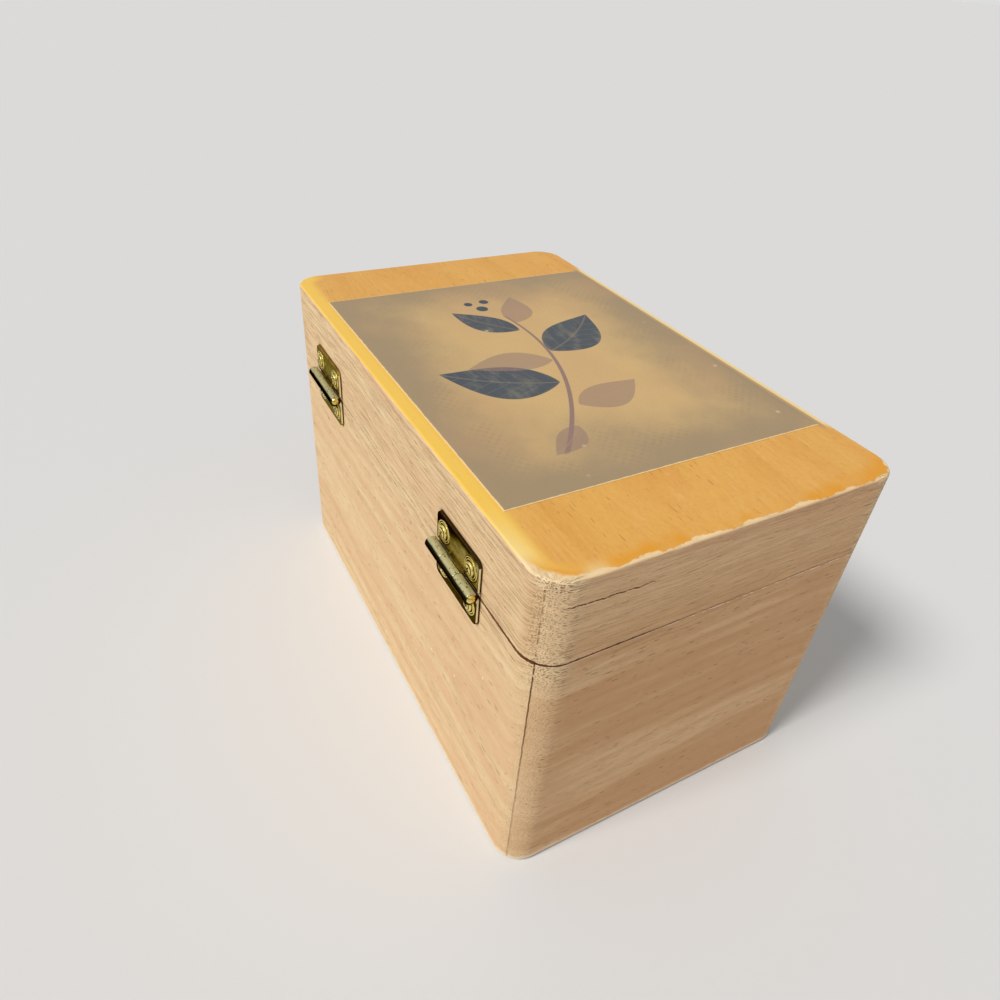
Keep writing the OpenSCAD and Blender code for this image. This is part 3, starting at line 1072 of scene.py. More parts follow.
@dataclass(frozen=True)
class PlyPanel(Finish):
    """The plain thin panel in the underside."""

    name: str = "plain_ply"
    timber: Timber = Timber(
        light=paint(222, 196, 156), dark=paint(190, 158, 118), pore=paint(120, 88, 60),
        blush=paint(214, 182, 140), pith_mm=(8.0, 14.0), ring_width_mm=4.5, rings=0.5, pores=0.5,
        offset_mm=(11.0, 3.0, 5.0))

    def dress(self, graph: Graph, at: Spot) -> dict:
        """Wide veneer figure with a few pores. See Finish.dress."""
        wood = self.timber.figure(graph, at.place, lines=0.3)
        return {"Base Color": wood["colour"], "Roughness": 0.72, "Specular IOR Level": 0.3,
                "Height": wood["height"], "Relief": 0.08}


@dataclass(frozen=True)
class Leaf:
    """One printed leaf: where its stalk starts, its turn in degrees and its size in millimetres."""

    foot: tuple[float, float]
    turn: float
    length: float
    width: float
    bend: float
    slate: bool


@dataclass(frozen=True)
class Berry:
    """One printed berry: its middle and its radius in millimetres."""

    middle: tuple[float, float]
    radius: float


@dataclass(frozen=True)
class PrintedPaper(Finish):
    """Aged paper printed with a plain leaf sprig, darker and faintly woven towards its edges."""

    name: str = "printed_paper"
    ground: Colour = paint(214, 180, 124)
    border: Colour = paint(166, 144, 112)
    blush: Colour = paint(206, 164, 118)
    weave: Colour = paint(126, 110, 86)
    speckle: Colour = paint(120, 104, 82)
    lint: Colour = paint(226, 214, 186)
    slate: Colour = paint(64, 76, 88)
    slate_worn: Colour = paint(116, 116, 108)
    mauve: Colour = paint(150, 122, 112)
    rib: Colour = paint(176, 154, 116)
    cut_edge: Colour = paint(240, 214, 158)
    border_corner_mm: float = 14.0
    leaves: tuple[Leaf, ...] = (
        Leaf((-16.0, 6.0), 62.0, 38.0, 21.0, -10.0, True),
        Leaf((4.0, -3.0), -52.0, 36.0, 20.0, 9.0, True),
        Leaf((22.0, -1.0), 38.0, 27.0, 13.0, -6.0, True),
        Leaf((-30.0, 8.0), -74.0, 27.0, 14.0, 7.0, False),
        Leaf((-2.0, 0.0), 84.0, 30.0, 13.0, 8.0, False),
        Leaf((28.0, -3.0), -22.0, 24.0, 12.0, 6.0, False),
        Leaf((-40.0, 15.0), 128.0, 18.0, 9.0, -4.0, False),
    )
    berries: tuple[Berry, ...] = (Berry((43.0, 3.0), 2.2), Berry((48.6, -0.4), 1.8),
                                  Berry((48.2, 6.2), 1.6))

    def dress(self, graph: Graph, at: Spot) -> dict:
        """Prints ground, border and sprig on the sheet. See Finish.dress."""
        low, high = (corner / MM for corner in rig.box("cover_picture"))
        half = (high - low) / 2
        spot = Spot.of(graph, graph.vector("SUBTRACT", at.place, tuple((low + high) / 2)))
        mottle = graph.noise(at.place, 0.045, 4.0, 0.6)
        colour = self.sprig(graph, spot, self.sheet(graph, at, spot, half, mottle))
        fine = graph.noise(at.place, 2.2, 3.0, 0.6)
        colour = graph.blend(graph.step(fine, 0.5, 0.75) * 0.16, colour, self.speckle)
        flecks = DUST.use(graph, place=at.place, per_mm=0.16, share=0.12)["flecks"]
        colour = graph.blend(flecks * 0.5, colour, self.lint)
        beside = graph.least(half.x - abs(spot.x), half.y - spot.y)
        frayed = graph.noise(at.place, 0.5, 3.0) * 0.45 + 0.08
        rim = graph.step(frayed - beside, -0.08, 0.08)
        return {"Base Color": graph.blend(rim, colour, self.cut_edge),
                "Roughness": mottle * 0.16 + 0.42, "Specular IOR Level": 0.3, "Coat Weight": 0.05,
                "Coat Roughness": 0.3, "Height": fine * 0.25 + mottle * 0.8, "Relief": 0.06}

    def sheet(self, graph: Graph, at: Spot, spot: Spot, half: Vector, mottle: Feed) -> Value:
        """The printed ground, with a darker border and a patchy band of weave inside it.

        Args:
            graph: The material's graph.
            at: The spot on the object.
            spot: The same spot, from the middle of the sheet.
            half: Half the sheet's size in millimetres.
            mottle: Noise that bends the border.

        Returns:
            The ground's colour.
        """
        inset = INSET.use(graph, place=spot.place, half_length=half.x, half_depth=half.y,
                          corner=self.border_corner_mm)["inset"]
        inset = (mottle - 0.5) * 34.0 + inset
        ground = graph.blend(graph.step(inset, 38.0, 0.0), self.ground, self.border)
        warm = graph.patches(at.place, (0.02, 0.025, 0.02), (0.45, 0.65))
        ground = graph.blend(warm * 0.35, ground, self.blush)
        threads = graph.math("SINE", spot.x * 2.1) * graph.math("SINE", spot.y * 2.1)
        woven = graph.step(threads, 0.0, 0.6) * graph.band(inset, (4.0, 9.0), (13.0, 22.0))
        patchy = graph.patches(at.place, 0.06, (0.42, 0.6))
        return graph.blend(woven * patchy * 0.14, ground, self.weave)

    def sprig(self, graph: Graph, spot: Spot, ground: Feed) -> Value:
        """Prints a bowed stem with leaves and a few berries over the ground.

        Args:
            graph: The material's graph.
            spot: The spot on the sheet, from its middle.
            ground: The colour under the sprig.

        Returns:
            The colour of sheet and sprig.
        """
        x, y = spot.x, spot.y
        faded = graph.patches(spot.place, (0.09, 0.16, 0.0), (0.46, 0.7), 4.0, 0.6) * 0.75
        beside = abs(y - (x * x * 0.006 - x * 0.22 - 1.2))
        within = graph.band(x, (-52.0, -50.0), (33.0, 36.0))
        stem = graph.step(0.62 - x * 0.006 - beside, -0.15, 0.15) * within
        colour = graph.blend(stem, ground, self.mauve)
        for leaf in self.leaves:
            drawn = LEAF_SHAPE.use(graph, place=spot.place, foot=(*leaf.foot, 0.0),
                                   turn=math.radians(leaf.turn), length=leaf.length,
                                   width=leaf.width, bend=leaf.bend)
            ink = graph.blend(faded, self.slate, self.slate_worn) if leaf.slate else self.mauve
            strength = 0.97 if leaf.slate else 0.6
            colour = graph.blend(drawn["leaf"] * strength, colour, ink)
            colour = graph.blend(drawn["veins"] * 0.3, colour, self.rib)
        for berry in self.berries:
            away = graph.length(graph.vector("SUBTRACT", graph.join(x, y), (*berry.middle, 0.0)))
            colour = graph.blend(graph.step(away, berry.radius + 0.2, berry.radius - 0.2), colour, self.slate)
        return colour


@dataclass(frozen=True)
class Brass(Finish):
    """Thin brass plating with a green-gold cast, a little dulled by handling."""

    name: str = "plated_brass"
    bright: Colour = paint(222, 194, 110)
    dull: Colour = paint(150, 132, 70)
    amount: float = 0.5

    def tarnished(self, graph: Graph, at: Spot) -> dict[str, Value]:
        """The metal's own colour, roughness and height."""
        return TARNISH.use(graph, place=at.place, bright=self.bright, dull=self.dull, amount=self.amount)

    def dress(self, graph: Graph, at: Spot) -> dict:
        """Tarnished metal with fine relief. See Finish.dress."""
        metal = self.tarnished(graph, at)
        return {"Base Color": metal["colour"], "Metallic": 1.0, "Roughness": metal["roughness"],
                "Height": metal["height"], "Relief": 0.02}


@dataclass(frozen=True)
class HingeBrass(Brass):
    """The hinges' sheet, with a painted dark reflection towards its far edges and painted shade round the screws.

    The rolled knuckles have a painted highlight in pale grey-green on top and painted shade underneath,
    and the cut edge of the sheet has a painted highlight with painted shadow next to the wood.
    """

    name: str = "hinge_brass"
    bright: Colour = paint(244, 228, 160)
    dull: Colour = paint(190, 170, 100)
    amount: float = 0.8
    # Near black olive: the painted dark reflection and shade of the plate and knuckles.
    dark: Colour = paint(42, 36, 20)
    # Pale grey-green of the painted highlight on top of the knuckles.
    painted_highlights: Colour = paint(190, 184, 140)
    # Painted highlight on the leaves' cut ends.
    cut_edge: Colour = paint(255, 242, 196)
    glance: Colour = paint(150, 142, 118)

    def dress(self, graph: Graph, at: Spot) -> dict:
        """Tarnished metal, shaded by its place on the hinge. See Finish.dress."""
        metal = self.tarnished(graph, at)
        patch = graph.noise(at.place, (0.16, 0.4, 0.28), 3.0, 0.6)
        colour = graph.blend(self.painted_reflection_and_shade(graph, at, patch), metal["colour"], self.dark)

        along, up = HINGE.around(at)
        roll = graph.length(graph.join(at.y - HINGE.axis.y, up))
        barrel = graph.step(roll - HINGE.knuckle, 0.25, 0.1)
        fleck = graph.patches(at.place, 1.3, (0.6, 0.68), 2.0, 0.7)
        # Painted highlight on the upper side of each knuckle, and painted shade under it.
        lit = graph.step((patch * 0.5 + up) / roll, 0.72, 0.95) * (1.0 - fleck * 0.75)
        colour = graph.blend(barrel, colour, graph.blend(lit, self.dark, self.painted_highlights))

        # The leaves' end faces: a painted highlight on the outer part, and painted shadow next to the wood.
        side = graph.step(HINGE.half_length - abs(along), 0.12, 0.04) * (1.0 - barrel)
        outer = graph.step(at.y - SIZES.half_depth, 0.3, 0.45)
        colour = graph.blend(side, colour, graph.blend(outer, self.dark, self.cut_edge))
        matt = graph.most(side * outer, lit * barrel)
        return {"Base Color": colour, "Metallic": 1.0 - matt * 0.55,
                "Roughness": matt * 0.16 + metal["roughness"], "Specular Tint": self.glance,
                "Height": metal["height"], "Relief": 0.02}

    def painted_reflection_and_shade(self, graph: Graph, at: Spot, patch: Feed) -> Value:
        """Where the plate is painted dark: dark reflection above and below, patina with painted shade along its
        outline, and painted shade round each screw.

        Args:
            graph: The material's graph.
            at: The spot on the object.
            patch: Noise that makes the shading uneven.

        Returns:
            A mask, weaker on the hinge at positive x.
        """
        along, up = HINGE.around(at)
        rise = patch * 5.0 + up + along * graph.math("SIGN", at.x) * 0.2
        from_screw = graph.length(graph.join(*HINGE.from_screw(at)))
        dark = graph.most(graph.step(rise, 7.6, 12.4), graph.step(rise, 1.5, -1.5) * 0.9,
                          graph.step(HINGE.inset(graph, at), 0.5, 0.28), graph.step(from_screw, 4.1, 3.5))
        return dark * (0.95 - graph.step(at.x, -20.0, 20.0) * 0.45)


@dataclass(frozen=True)
class ScrewBrass(Brass):
    """Hinge screws: bright turned brass with painted shade in the grooves round the bead, at the head's edge and in
    the recess.
    """

    name: str = "screw_brass"
    bright: Colour = paint(250, 228, 134)
    dull: Colour = paint(186, 158, 80)
    # Colour of the painted shade in the grooves and recess.
    groove: Colour = paint(58, 46, 16)

    def dress(self, graph: Graph, at: Spot) -> dict:
        """Rings of painted shade round each screw's axis, and painted shade in the recess. See Finish.dress."""
        beside, drop = HINGE.from_screw(at)
        away = graph.length(graph.join(beside, drop))
        cross = graph.least(abs(beside), abs(drop))
        # Painted shade in the bead's groove, at the head's edge and in the cross recess.
        dark = graph.most(graph.band(away, (1.3, 1.5), (1.6, 1.8)),
                          graph.band(away, (2.08, 2.18), (2.4, 2.5)),
                          graph.step(away, 0.75, 0.55) * graph.step(cross, 0.5, 0.3))
        feeds = super().dress(graph, at)
        feeds["Base Color"] = graph.blend(dark * 0.85, feeds["Base Color"], self.groove)
        return feeds


SHEET_BRASS, HINGE_BRASS, SCREW_BRASS = Brass(), HingeBrass(), ScrewBrass()
TURNED_BRASS = Brass(name="turned_brass", bright=paint(248, 226, 132), dull=paint(176, 146, 66))


def shown(name: str, data: bpy.types.ID) -> bpy.types.Object:
    """Puts a mesh, lamp or camera into the scene.

    Args:
        name: The object's name.
        data: What the object shows.

    Returns:
        The object, unturned at the origin.
    """
    thing = bpy.data.objects.new(name, data)
    bpy.context.scene.collection.objects.link(thing)
    return thing


def as_mesh(name: str, shell: bmesh.types.BMesh) -> bpy.types.Mesh:
    """Turns an edited shell into a mesh, and frees it.

    Args:
        name: The mesh's name.
        shell: The shell.

    Returns:
        The mesh.
    """
    mesh = bpy.data.meshes.new(name)
    shell.to_mesh(mesh)
    shell.free()
    return mesh


def smooth(mesh: bpy.types.Mesh, angle: float) -> None:
    """Shades a mesh smoothly, except across edges sharper than an angle."""
    mesh.shade_smooth()
    mesh.set_sharp_from_angle(angle=angle)


class SoftPiece:
    """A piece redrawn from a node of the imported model, with softened arrises."""

    merge = 1e-6
    flat_angle = math.radians(0.3)
    arris_angle = math.radians(28.0)
    facet_angle = math.radians(13.0)

    def __init__(self, node: str, body: str, finish: Finish, slot: str) -> None:
        """Names the node, its body, the finish and the record's slot."""
        self.node, self.body, self.finish, self.slot = node, body, finish, slot

    def make(self, radius: float = 0.0, where: Callable[[bmesh.types.BMEdge], bool] | None = None,
             segments: int = 2,
             nudge: Callable[[bmesh.types.BMVert], None] | None = None) -> bpy.types.Object:
        """Redraws the node and sets the new piece in its place.

        Args:
            radius: How far the sharp edges are rounded, in metres.
            where: Which sharp edges are rounded, or none for all of them.
            segments: The facets of a rounded edge.
            nudge: Moves a corner a little before the rounding.

        Returns:
            The piece, riding on its body.
        """
        shell = bmesh.new()
        shell.from_mesh(frame["nodes"][self.node].data)
        bmesh.ops.remove_doubles(shell, verts=shell.verts, dist=self.merge)
        bmesh.ops.dissolve_limit(shell, angle_limit=self.flat_angle, verts=shell.verts, edges=shell.edges)
        if nudge is not None:
            for vertex in shell.verts:
                nudge(vertex)
        if radius > 0:
            sharp = [edge for edge in shell.edges if len(edge.link_faces) == 2
                     and edge.calc_face_angle() > self.arris_angle and (where is None or where(edge))]
            bmesh.ops.bevel(shell, geom=sharp, offset=radius, offset_type="OFFSET", segments=segments,
                            profile=0.5, affect="EDGES", clamp_overlap=True)
        name = f"{self.node}_soft"
        piece = shown(name, as_mesh(name, shell))
        smooth(piece.data, self.facet_angle)
        modifier = piece.modifiers.new("flat_faces", "WEIGHTED_NORMAL")
        modifier.keep_sharp = True
        return place_piece(as_plain_mesh(piece), self.body, self.finish, self.slot, self.node)


def as_plain_mesh(piece: bpy.types.Object) -> bpy.types.Object:
    """Applies a piece's modifiers by taking its evaluated mesh, and removes them.

    Args:
        piece: The piece.

    Returns:
        The same piece.
    """
    evaluated = piece.evaluated_get(bpy.context.evaluated_depsgraph_get())
    mesh = bpy.data.meshes.new_from_object(evaluated)
    piece.modifiers.clear()
    piece.data = mesh
    return piece


def place_piece(piece: bpy.types.Object, body: str, finish: Finish, slot: str,
                *nodes: str) -> bpy.types.Object:
    """Finishes a piece and hands it to the frame.

    Args:
        piece: The piece, in place.
        body: The body that it rides on.
        finish: Its finish.
        slot: The record's slot.
        nodes: The nodes that it stands for.

    Returns:
        The same piece.
    """
    piece.data.materials.clear()
    piece.data.materials.append(finish.material())
    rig.ride(piece, body)
    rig.slot(piece, slot)
    if nodes:
        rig.replaces(piece, *nodes)
    return piece


@dataclass
class Carcass:
    """The boards of body and lid, and their two panels."""

    rim_radius: float = 0.05 * MM
    closing: float = 0.16 * MM
    same_height: float = 0.01 * MM
    finishes: dict[str, Finish] = field(default_factory=lambda: {
        "front_wall": FRONT_BOARD, "back_wall": LONG_BOARD,
        "left_end": LEFT_BOARD, "right_end": RIGHT_BOARD})

    def close(self, vertex: bmesh.types.BMVert) -> None:
        """Draws a corner of a sawn rim nearer to the other rim, for as fine a cut as is seen.

        Args:
            vertex: Any corner of a board. One that lies elsewhere stays.
        """
        for rim, way in ((SIZES.body_rim, 1), (SIZES.lid_rim, -1)):
            if abs(vertex.co.z - rim * MM) < self.same_height:
                vertex.co.z += way * self.closing
                return

    def on_rim(self, edge: bmesh.types.BMEdge) -> bool:
        """Whether an edge lies in one of the two sawn rims, as they are drawn.

        Args:
            edge: The edge.

        Returns:
            True where it does.
        """
        rims = (SIZES.body_rim * MM + self.closing, SIZES.lid_rim * MM - self.closing)
        heights = [vertex.co.z for vertex in edge.verts]
        return any(all(abs(z - rim) < self.same_height for z in heights) for rim in rims)

    def build(self) -> list[bpy.types.Object]:
        """Redraws the boards with softened rims, and finishes the panels.

        Returns:
            The pieces.
        """
        pieces = []
        for body, part in (("box", "body"), ("lid", "lid")):
            for board, finish in self.finishes.items():
                soft = SoftPiece(f"{part}_{board}", body, finish, "bare_wood")
                pieces.append(soft.make(self.rim_radius, self.on_rim, segments=3, nudge=self.close))
        pieces.append(SoftPiece("lid_top_panel", "lid", VarnishedPanel(), "varnished_wood").make())
        pieces.append(SoftPiece("body_bottom_panel", "box", PlyPanel(), "bottom_ply").make())
        return pieces


@dataclass
class PictureSheet:
    """The paper glued on the lid: a thin closed sheet, a little uneven, its edges pressed down."""

    columns: int = 72
    rows: int = 58
    sunk: float = 0.05 * MM
    edge_drop: float = 0.12 * MM
    edge_width: float = 1.1 * MM
    edge_steps: tuple[float, ...] = (0.0, 0.12, 0.35, 0.65)
    ripples: int = 5
    ripples_per_metre: tuple[float, float] = (40.0, 160.0)
    seed: int = 11

    def __post_init__(self) -> None:
        """Reads the sheet's place and chooses its ripples."""
        self.low, self.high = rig.box("cover_picture")
        rng = random.Random(self.seed)
        self.waves = [(rng.uniform(*self.ripples_per_metre), rng.uniform(*self.ripples_per_metre),
                       rng.uniform(0, math.tau)) for _ in range(self.ripples)]

    def spots(self, count: int, start: float, end: float) -> list[float]:
        """Places along one side, closer together near both edges.

        Args:
            count: The number of even steps between the edges.
            start, end: Where the side starts and ends.

        Returns:
            The places in order.
        """
        inner = [start + self.edge_width + (end - start - 2 * self.edge_width) * i / count
                 for i in range(count + 1)]
        margin = [self.edge_width * share for share in self.edge_steps]
        return [start + m for m in margin] + inner + [end - m for m in reversed(margin)]

    def lift(self, x: float, y: float) -> float:
        """The height of the paper's face.

        Args:
            x, y: The place on the sheet.

        Returns:
            The height above the box's foot.
        """
        ripple = sum(math.sin(a * x + b * y + c) for a, b, c in self.waves) / len(self.waves)
        beside = min(x - self.low.x, self.high.x - x, y - self.low.y, self.high.y - y)
        pressed = (1 - min(beside / self.edge_width, 1.0)) ** 2
        return self.high.z - self.sunk * (0.5 + 0.5 * ripple) - self.edge_drop * pressed

    def build(self) -> bpy.types.Object:
        """Builds the sheet in the picture's place: face, edge and flat underside.

        Returns:
            The sheet.
        """
        xs = self.spots(self.columns, self.low.x, self.high.x)
        ys = self.spots(self.rows, self.low.y, self.high.y)
        shell = bmesh.new()
        face = [[shell.verts.new((x, y, self.lift(x, y))) for x in xs] for y in ys]
        for row, above in zip(face, face[1:]):
            for i in range(len(xs) - 1):
                shell.faces.new((row[i], row[i + 1], above[i + 1], above[i]))
        rim = face[0] + [row[-1] for row in face[1:]] + face[-1][-2::-1] + [row[0] for row in face[-2:0:-1]]
        under = [shell.verts.new((vertex.co.x, vertex.co.y, self.low.z)) for vertex in rim]
        for i, vertex in enumerate(rim):
            after = (i + 1) % len(rim)
            shell.faces.new((rim[after], vertex, under[i], under[after]))
        shell.faces.new(list(reversed(under)))
        piece = shown("picture_sheet", as_mesh("picture_sheet", shell))
        smooth(piece.data, math.radians(40))
        return place_piece(piece, "lid", PrintedPaper(), "picture_paper", "cover_picture")


class Recess(Enum):
    """What the driver fits into: a cross or a single slot."""

    CROSS = 2
    SLOT = 1


@dataclass
class DomedScrews:
    """A row of domed screws made with geometry nodes, set on points and facing one way."""

    name: str
    body: str
    node: str
    points: list[Vector]
    facing: tuple[float, float, float]
    head_diameter: float
    head_height: float
    shank_diameter: float
    length: float
    recess: Recess = Recess.CROSS
    rings: tuple[float, ...] = ()
    ring_thickness: float = 0.36 * MM
    finish: Finish = TURNED_BRASS
    seed: int = 5
    head_sides: int = 48
    shank_sides: int = 24

    sizes = ("Head Diameter", "Head Height", "Shank Diameter", "Length", "Recess Width",
             "Recess Length", "Recess Depth")

    def tree(self) -> bpy.types.NodeTree:
        """Builds the screw's tree: head, recess, shank and rings on each point.

        Returns:
            The tree, with named inputs for points, sizes, facing, seed and finish.
        """
        tree = bpy.data.node_groups.new(f"{self.name}_tree", "GeometryNodeTree")
        inputs = {"Points": SocketKind.SHAPE, **{name: SocketKind.NUMBER for name in self.sizes},
                  "Facing": SocketKind.PLACE, "Seed": SocketKind.WHOLE, "Finish": SocketKind.FINISH}
        for name, kind in inputs.items():
            tree.interface.new_socket(name=name, in_out="INPUT", socket_type=kind.value)
        tree.interface.new_socket(name="Screws", in_out="OUTPUT", socket_type=SocketKind.SHAPE.value)
        graph = Graph(tree)
        given = graph.outputs(graph.add("NodeGroupInput"))
        screw = graph.joined([self.head(graph, given), *self.shank(graph, given), *self.collars(graph)])
        placed = graph.value("GeometryNodeInstanceOnPoints", {
            "Points": given["Points"], "Instance": screw, "Rotation": given["Facing"]})
        roll = graph.value("FunctionNodeRandomValue", {
            0: (0.0, 0.0, 0.0), 1: (0.0, 0.0, math.pi), "Seed": given["Seed"]}, data_type="FLOAT_VECTOR")
        rolled = graph.value("GeometryNodeRotateInstances", {
            "Instances": placed, "Rotation": roll, "Local Space": True})
        real = graph.value("GeometryNodeRealizeInstances", {0: rolled})
        dressed = graph.value("GeometryNodeSetMaterial", {"Geometry": real, "Material": given["Finish"]})
        graph.add("NodeGroupOutput", {"Screws": dressed})
        return tree

    def head(self, graph: Graph, given: dict[str, Value]) -> Value:
        """The domed head with its beaded rim and driver recess, standing on z = 0.

        Args:
            graph: The tree's graph.
            given: The tree's inputs.

        Returns:
            The head's geometry.
        """
        radius, height = given["Head Diameter"] / 2.0, given["Head Height"]
        disc = graph.value("GeometryNodeMeshCylinder", {
            "Vertices": self.head_sides, "Side Segments": 1, "Fill Segments": 12, "Radius": radius,
            "Depth": height})
        x, y, z = graph.split(graph.value("GeometryNodeInputPosition"))
        share = (graph.length(graph.join(x, y)) / radius).clamped()
        cap = graph.math("SQRT", (1.0 - share ** 2.4).clamped())
        groove = graph.step(abs(share - 0.76), 0.1, 0.02) * 0.12
        raised = height * (cap * 0.76 + 0.24 - groove) * graph.math("GREATER_THAN", z, 0.0)
        domed = graph.value("GeometryNodeSetPosition", {
            "Geometry": disc, "Position": graph.join(x, y, raised)})
        blade = graph.value("GeometryNodeMeshCube", {"Size": graph.join(
            given["Recess Length"], given["Recess Width"], given["Recess Depth"] * 2.0)})
        blades = [self.moved(graph, blade, height, i * math.pi / 2) for i in range(self.recess.value)]
        return graph.value("GeometryNodeMeshBoolean", {
            "Mesh 1": domed, "Mesh 2": graph.joined(blades), "Self Intersection": True},
            operation="DIFFERENCE", solver="EXACT")

    def shank(self, graph: Graph, given: dict[str, Value]) -> list[Value]:
        """The shank and its pointed tip, below z = 0.

        Args:
            graph: The tree's graph.
            given: The tree's inputs.

        Returns:
            The shank's and the tip's geometry.
        """
        diameter, length = given["Shank Diameter"], given["Length"]
        radius, straight = diameter / 2.0, length - diameter
        rod = graph.value("GeometryNodeMeshCylinder", {
            "Vertices": self.shank_sides, "Radius": radius, "Depth": straight})
        tip = graph.value("GeometryNodeMeshCone", {
            "Vertices": self.shank_sides, "Radius Top": radius, "Radius Bottom": radius / 5.0,
            "Depth": diameter})
        return [self.moved(graph, rod, straight / -2.0), self.moved(graph, tip, length * -1.0)]

    def moved(self, graph: Graph, shape: Feed, up: Feed, turn: float = 0.0) -> Value:
        """A shape moved up or down and turned about the screw's axis."""
        return graph.value("GeometryNodeTransform", {
            "Geometry": shape, "Translation": graph.join(0.0, 0.0, up), "Rotation": (0.0, 0.0, turn)})

    def collars(self, graph: Graph) -> list[Value]:
        """The pressed rings round the head, half sunk in the plate that it sits on.

        Args:
            graph: The tree's graph.

        Returns:
            One geometry for each ring.
        """
        return [graph.value("GeometryNodeCurveToMesh", {
            "Curve": self.circle(graph, 56, radius),
            "Profile Curve": self.circle(graph, 10, self.ring_thickness / 2)}) for radius in self.rings]

    def circle(self, graph: Graph, sides: int, radius: float) -> Value:
        """A circle as a curve, lying flat round the screw's axis."""
        return graph.value("GeometryNodeCurvePrimitiveCircle", {"Resolution": sides, "Radius": radius})

    def build(self) -> bpy.types.Object:
        """Sets the screws on their points and hands them to the frame.

        Returns:
            The screws, as one piece.
        """
        mesh = bpy.data.meshes.new(self.name)
        mesh.from_pydata([tuple(point) for point in self.points], [], [])
        piece = shown(self.name, mesh)
        modifier = piece.modifiers.new("screws", "NODES")
        modifier.node_group = self.tree()
        cross = self.recess is Recess.CROSS
        values = {
            "Head Diameter": self.head_diameter, "Head Height": self.head_height,
            "Shank Diameter": self.shank_diameter, "Length": self.length,
            "Recess Width": self.head_diameter * (0.11 if cross else 0.13),
            "Recess Length": self.head_diameter * (0.52 if cross else 1.2),
            "Recess Depth": self.head_height * 0.62,
            "Facing": self.facing, "Seed": self.seed, "Finish": self.finish.material()}
        for item in modifier.node_group.interface.items_tree:
            if item.in_out == "INPUT" and item.name in values:
                modifier[item.identifier] = values[item.name]
        as_plain_mesh(piece)
        smooth(piece.data, math.radians(32))
        return place_piece(piece, self.body, self.finish, "brass", self.node)


@dataclass
class Hinges:
    """The two butt hinges: sheet leaves, pins and their screws."""

    edge_radius: float = 0.13 * MM
    head_diameter: float = HINGE.screw_head * MM
    head_height: float = 1.1 * MM
    shank_diameter: float = 1.8 * MM
    shank_length: float = 5.2 * MM
    ring_radii: tuple[float, ...] = (2.65 * MM, 3.3 * MM)

    def screw_points(self, node: str) -> list[Vector]:
        """Where the screws of a node sit on the leaves, from the solids' own boxes.

        Args:
            node: The node that holds one row of screws.

        Returns:
            The middle of each head's underside.
        """
        low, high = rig.box(node)
        outer = high.x - self.head_diameter / 2
        leaf_low, leaf_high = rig.box("right_hinge_body_leaf")
        inner = leaf_low.x + leaf_high.x - outer
        face = high.y - self.head_height
        height = (low.z + high.z) / 2
        return [Vector((side * x, face, height)) for side in (-1, 1) for x in (inner, outer)]

    def build(self) -> list[bpy.types.Object]:
        """Redraws leaves and pins, and sets the screws.

        Returns:
            The pieces.
        """
        pieces = []
        for side in ("left", "right"):
            for leaf, body in (("body_leaf", "box"), ("lid_leaf", "lid")):
                soft = SoftPiece(f"{side}_hinge_{leaf}", body, HINGE_BRASS, "brass")
                pieces.append(soft.make(self.edge_radius))
            pieces.append(SoftPiece(f"{side}_hinge_pin", "box", TURNED_BRASS, "brass").make())
        for body, node, seed in (("box", "body_hinge_screws", 5), ("lid", "lid_hinge_screws", 9)):
            pieces.append(DomedScrews(
                name=f"{body}_screws", body=body, node=node, points=self.screw_points(node),
                facing=(-math.pi / 2, 0.0, 0.0), head_diameter=self.head_diameter,
                head_height=self.head_height, shank_diameter=self.shank_diameter,
                length=self.shank_length, rings=self.ring_radii, finish=SCREW_BRASS,
                seed=seed).build())
        return pieces


@dataclass
class Catch:
    """The swing hook at the front, with its washer, pivot screw and stud."""

    edge_radius: float = 0.18 * MM
    washer_radius: float = 0.1 * MM
    stud_radius: float = 0.08 * MM
    head_diameter: float = 5.0 * MM
    head_height: float = 2.1 * MM
    shank_diameter: float = 2.4 * MM

    def build(self) -> list[bpy.types.Object]:
        """Redraws hook, washer and stud, and makes the slotted pivot screw.

        Returns:
            The pieces.
        """
        pieces = [
            SoftPiece("catch_hook", "hook", SHEET_BRASS, "brass").make(self.edge_radius, segments=3),
            SoftPiece("catch_washer", "box", TURNED_BRASS, "brass").make(self.washer_radius),
            SoftPiece("catch_stud", "lid", TURNED_BRASS, "brass").make(self.stud_radius)]
        low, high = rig.box("catch_pivot_screw")
        seat = low.y + self.head_height
        pieces.append(DomedScrews(
            name="pivot_screw", body="box", node="catch_pivot_screw",
            points=[Vector((0.0, seat, (low.z + high.z) / 2))], facing=(math.pi / 2, 0.0, 0.0),
            head_diameter=self.head_diameter, head_height=self.head_height,
            shank_diameter=self.shank_diameter, length=high.y - seat, recess=Recess.SLOT).build())
        return pieces


@dataclass
class Lamp:
    """A wide soft lamp so far away that its light is even."""

    name: str
    towards: tuple[float, float, float]
    strength: float
    spread_degrees: float
    tint: tuple[float, float, float] = (1.0, 1.0, 1.0)

    def build(self) -> bpy.types.Object:
        """Makes the lamp and turns it so that it shines from the direction given.

        Returns:
            The lamp.
        """
        light = bpy.data.lights.new(self.name, "SUN")
        light.energy, light.color = self.strength, self.tint
        light.angle = math.radians(self.spread_degrees)
        lamp = shown(self.name, light)
        lamp.rotation_euler = Vector(self.towards).to_track_quat("Z", "Y").to_euler()
        return lamp


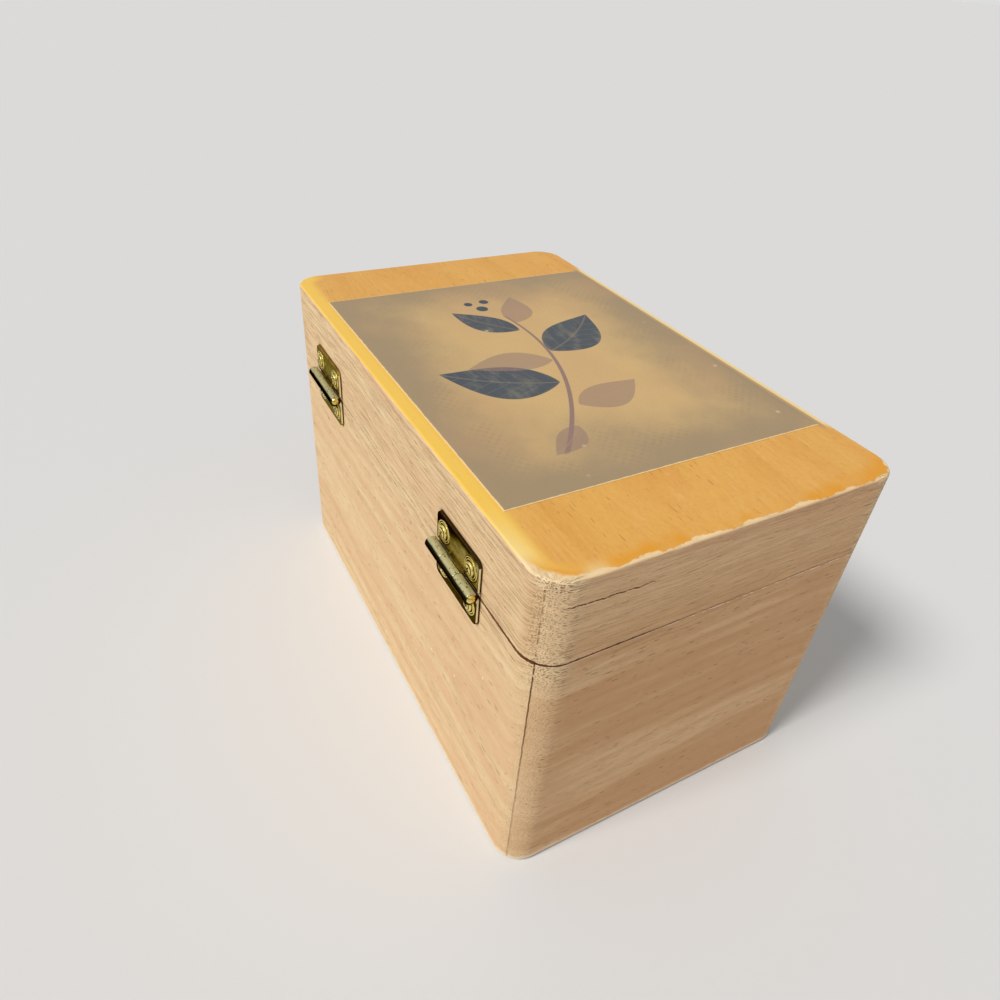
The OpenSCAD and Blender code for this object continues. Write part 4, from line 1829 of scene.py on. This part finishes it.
@dataclass
class Studio:
    """Pale floor, soft light and the camera."""

    floor_size: float = 30.0
    floor_drop: float = 0.0004
    floor_colour: Colour = paint(226, 227, 228)
    light_strength: float = 0.36
    backdrop_strength: float = 0.72
    overhead_strength: float = 0.95
    side_strength: float = 0.3
    lamps: tuple[Lamp, ...] = (
        Lamp("key", (-0.04, 0.63, 0.776), 2.3, 16.0, (1.0, 0.97, 0.93)),
    )
    eye: tuple[float, float, float] = (-0.18371584, 0.12540723, 0.22440794)
    forward: tuple[float, float, float] = (0.68352912, -0.41511648, -0.60038842)
    right: tuple[float, float, float] = (-0.47251843, -0.87857563, 0.06950686)
    lens: float = 26.503
    sensor: float = 36.0

    def build(self) -> None:
        """Makes the world, floor, lamps and camera."""
        self.world()
        self.floor()
        for lamp in self.lamps:
            lamp.build()
        self.camera()
        bpy.context.scene.view_settings.view_transform = "Standard"

    def world(self) -> None:
        """A plain pale surrounding, in which metal sees a brighter ceiling over darker sides."""
        world = bpy.data.worlds.new("studio")
        world.use_nodes = True
        world.node_tree.nodes.clear()
        graph = Graph(world.node_tree)
        path = graph.outputs(graph.add("ShaderNodeLightPath"))
        _, _, height = graph.split(graph.add("ShaderNodeTexCoord").outputs["Generated"])
        overhead = graph.step(height, 0.25, 0.8)
        mirrored = overhead * (self.overhead_strength - self.side_strength) + self.side_strength
        glossy = graph.most(path["Is Glossy Ray"], path["Is Transmission Ray"])
        strength = path["Is Camera Ray"] * self.backdrop_strength
        strength = glossy * mirrored + strength
        rest = (1.0 - (glossy + path["Is Camera Ray"])).clamped()
        glow = graph.add("ShaderNodeBackground",
                         {"Color": (1.0, 1.0, 1.0, 1.0), "Strength": rest * self.light_strength + strength})
        graph.add("ShaderNodeOutputWorld", {0: glow.outputs[0]})
        bpy.context.scene.world = world

    def floor(self) -> None:
        """A wide matt floor just under the box."""
        half = self.floor_size / 2
        mesh = bpy.data.meshes.new("floor")
        corners = [(-half, -half), (half, -half), (half, half), (-half, half)]
        mesh.from_pydata([(x, y, -self.floor_drop) for x, y in corners], [], [(0, 1, 2, 3)])
        floor = shown("floor", mesh)
        material = bpy.data.materials.new("floor_paint")
        material.use_nodes = True
        material.node_tree.nodes.clear()
        graph = Graph(material.node_tree)
        shader = graph.add("ShaderNodeBsdfPrincipled", {"Base Color": self.floor_colour,
                                                        "Roughness": 0.85, "Specular IOR Level": 0.2})
        graph.add("ShaderNodeOutputMaterial", {0: shader.outputs[0]})
        mesh.materials.append(material)
        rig.stage(floor)

    def camera(self) -> bpy.types.Object:
        """The camera at the photograph's place and angle.

        Returns:
            The camera, as the scene's own.
        """
        lens = bpy.data.cameras.new("camera")
        lens.lens, lens.sensor_width, lens.sensor_fit = self.lens, self.sensor, "HORIZONTAL"
        lens.clip_start, lens.clip_end = 0.005, 50.0
        camera = shown("camera", lens)
        forward, right = Vector(self.forward).normalized(), Vector(self.right).normalized()
        up = right.cross(forward)
        turned = Matrix((right, up, -forward)).transposed().to_4x4()
        camera.matrix_world = Matrix.Translation(self.eye) @ turned
        bpy.context.scene.camera = camera
        return camera


def report(pieces: list[bpy.types.Object]) -> None:
    """Logs each piece with its body and face count."""
    for piece in pieces:
        log.info("%s rides on %s, %d faces", piece.name, piece.get("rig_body"), len(piece.data.polygons))


def write_sizes() -> None:
    """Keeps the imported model's box and the finished one, for comparison."""
    with open(SIZE_FILE, "w", encoding="utf-8") as file:
        json.dump({"cad": CAD_BOX, "visual": plain_box()}, file)


def main() -> None:
    """Builds the studio and every sub-assembly in order."""
    logging.basicConfig(level=logging.INFO, format="%(name)s: %(message)s")
    Studio().build()
    report(Carcass().build())
    report([PictureSheet().build()])
    report(Hinges().build())
    report(Catch().build())
    write_sizes()


if __name__ == "__main__":
    main()
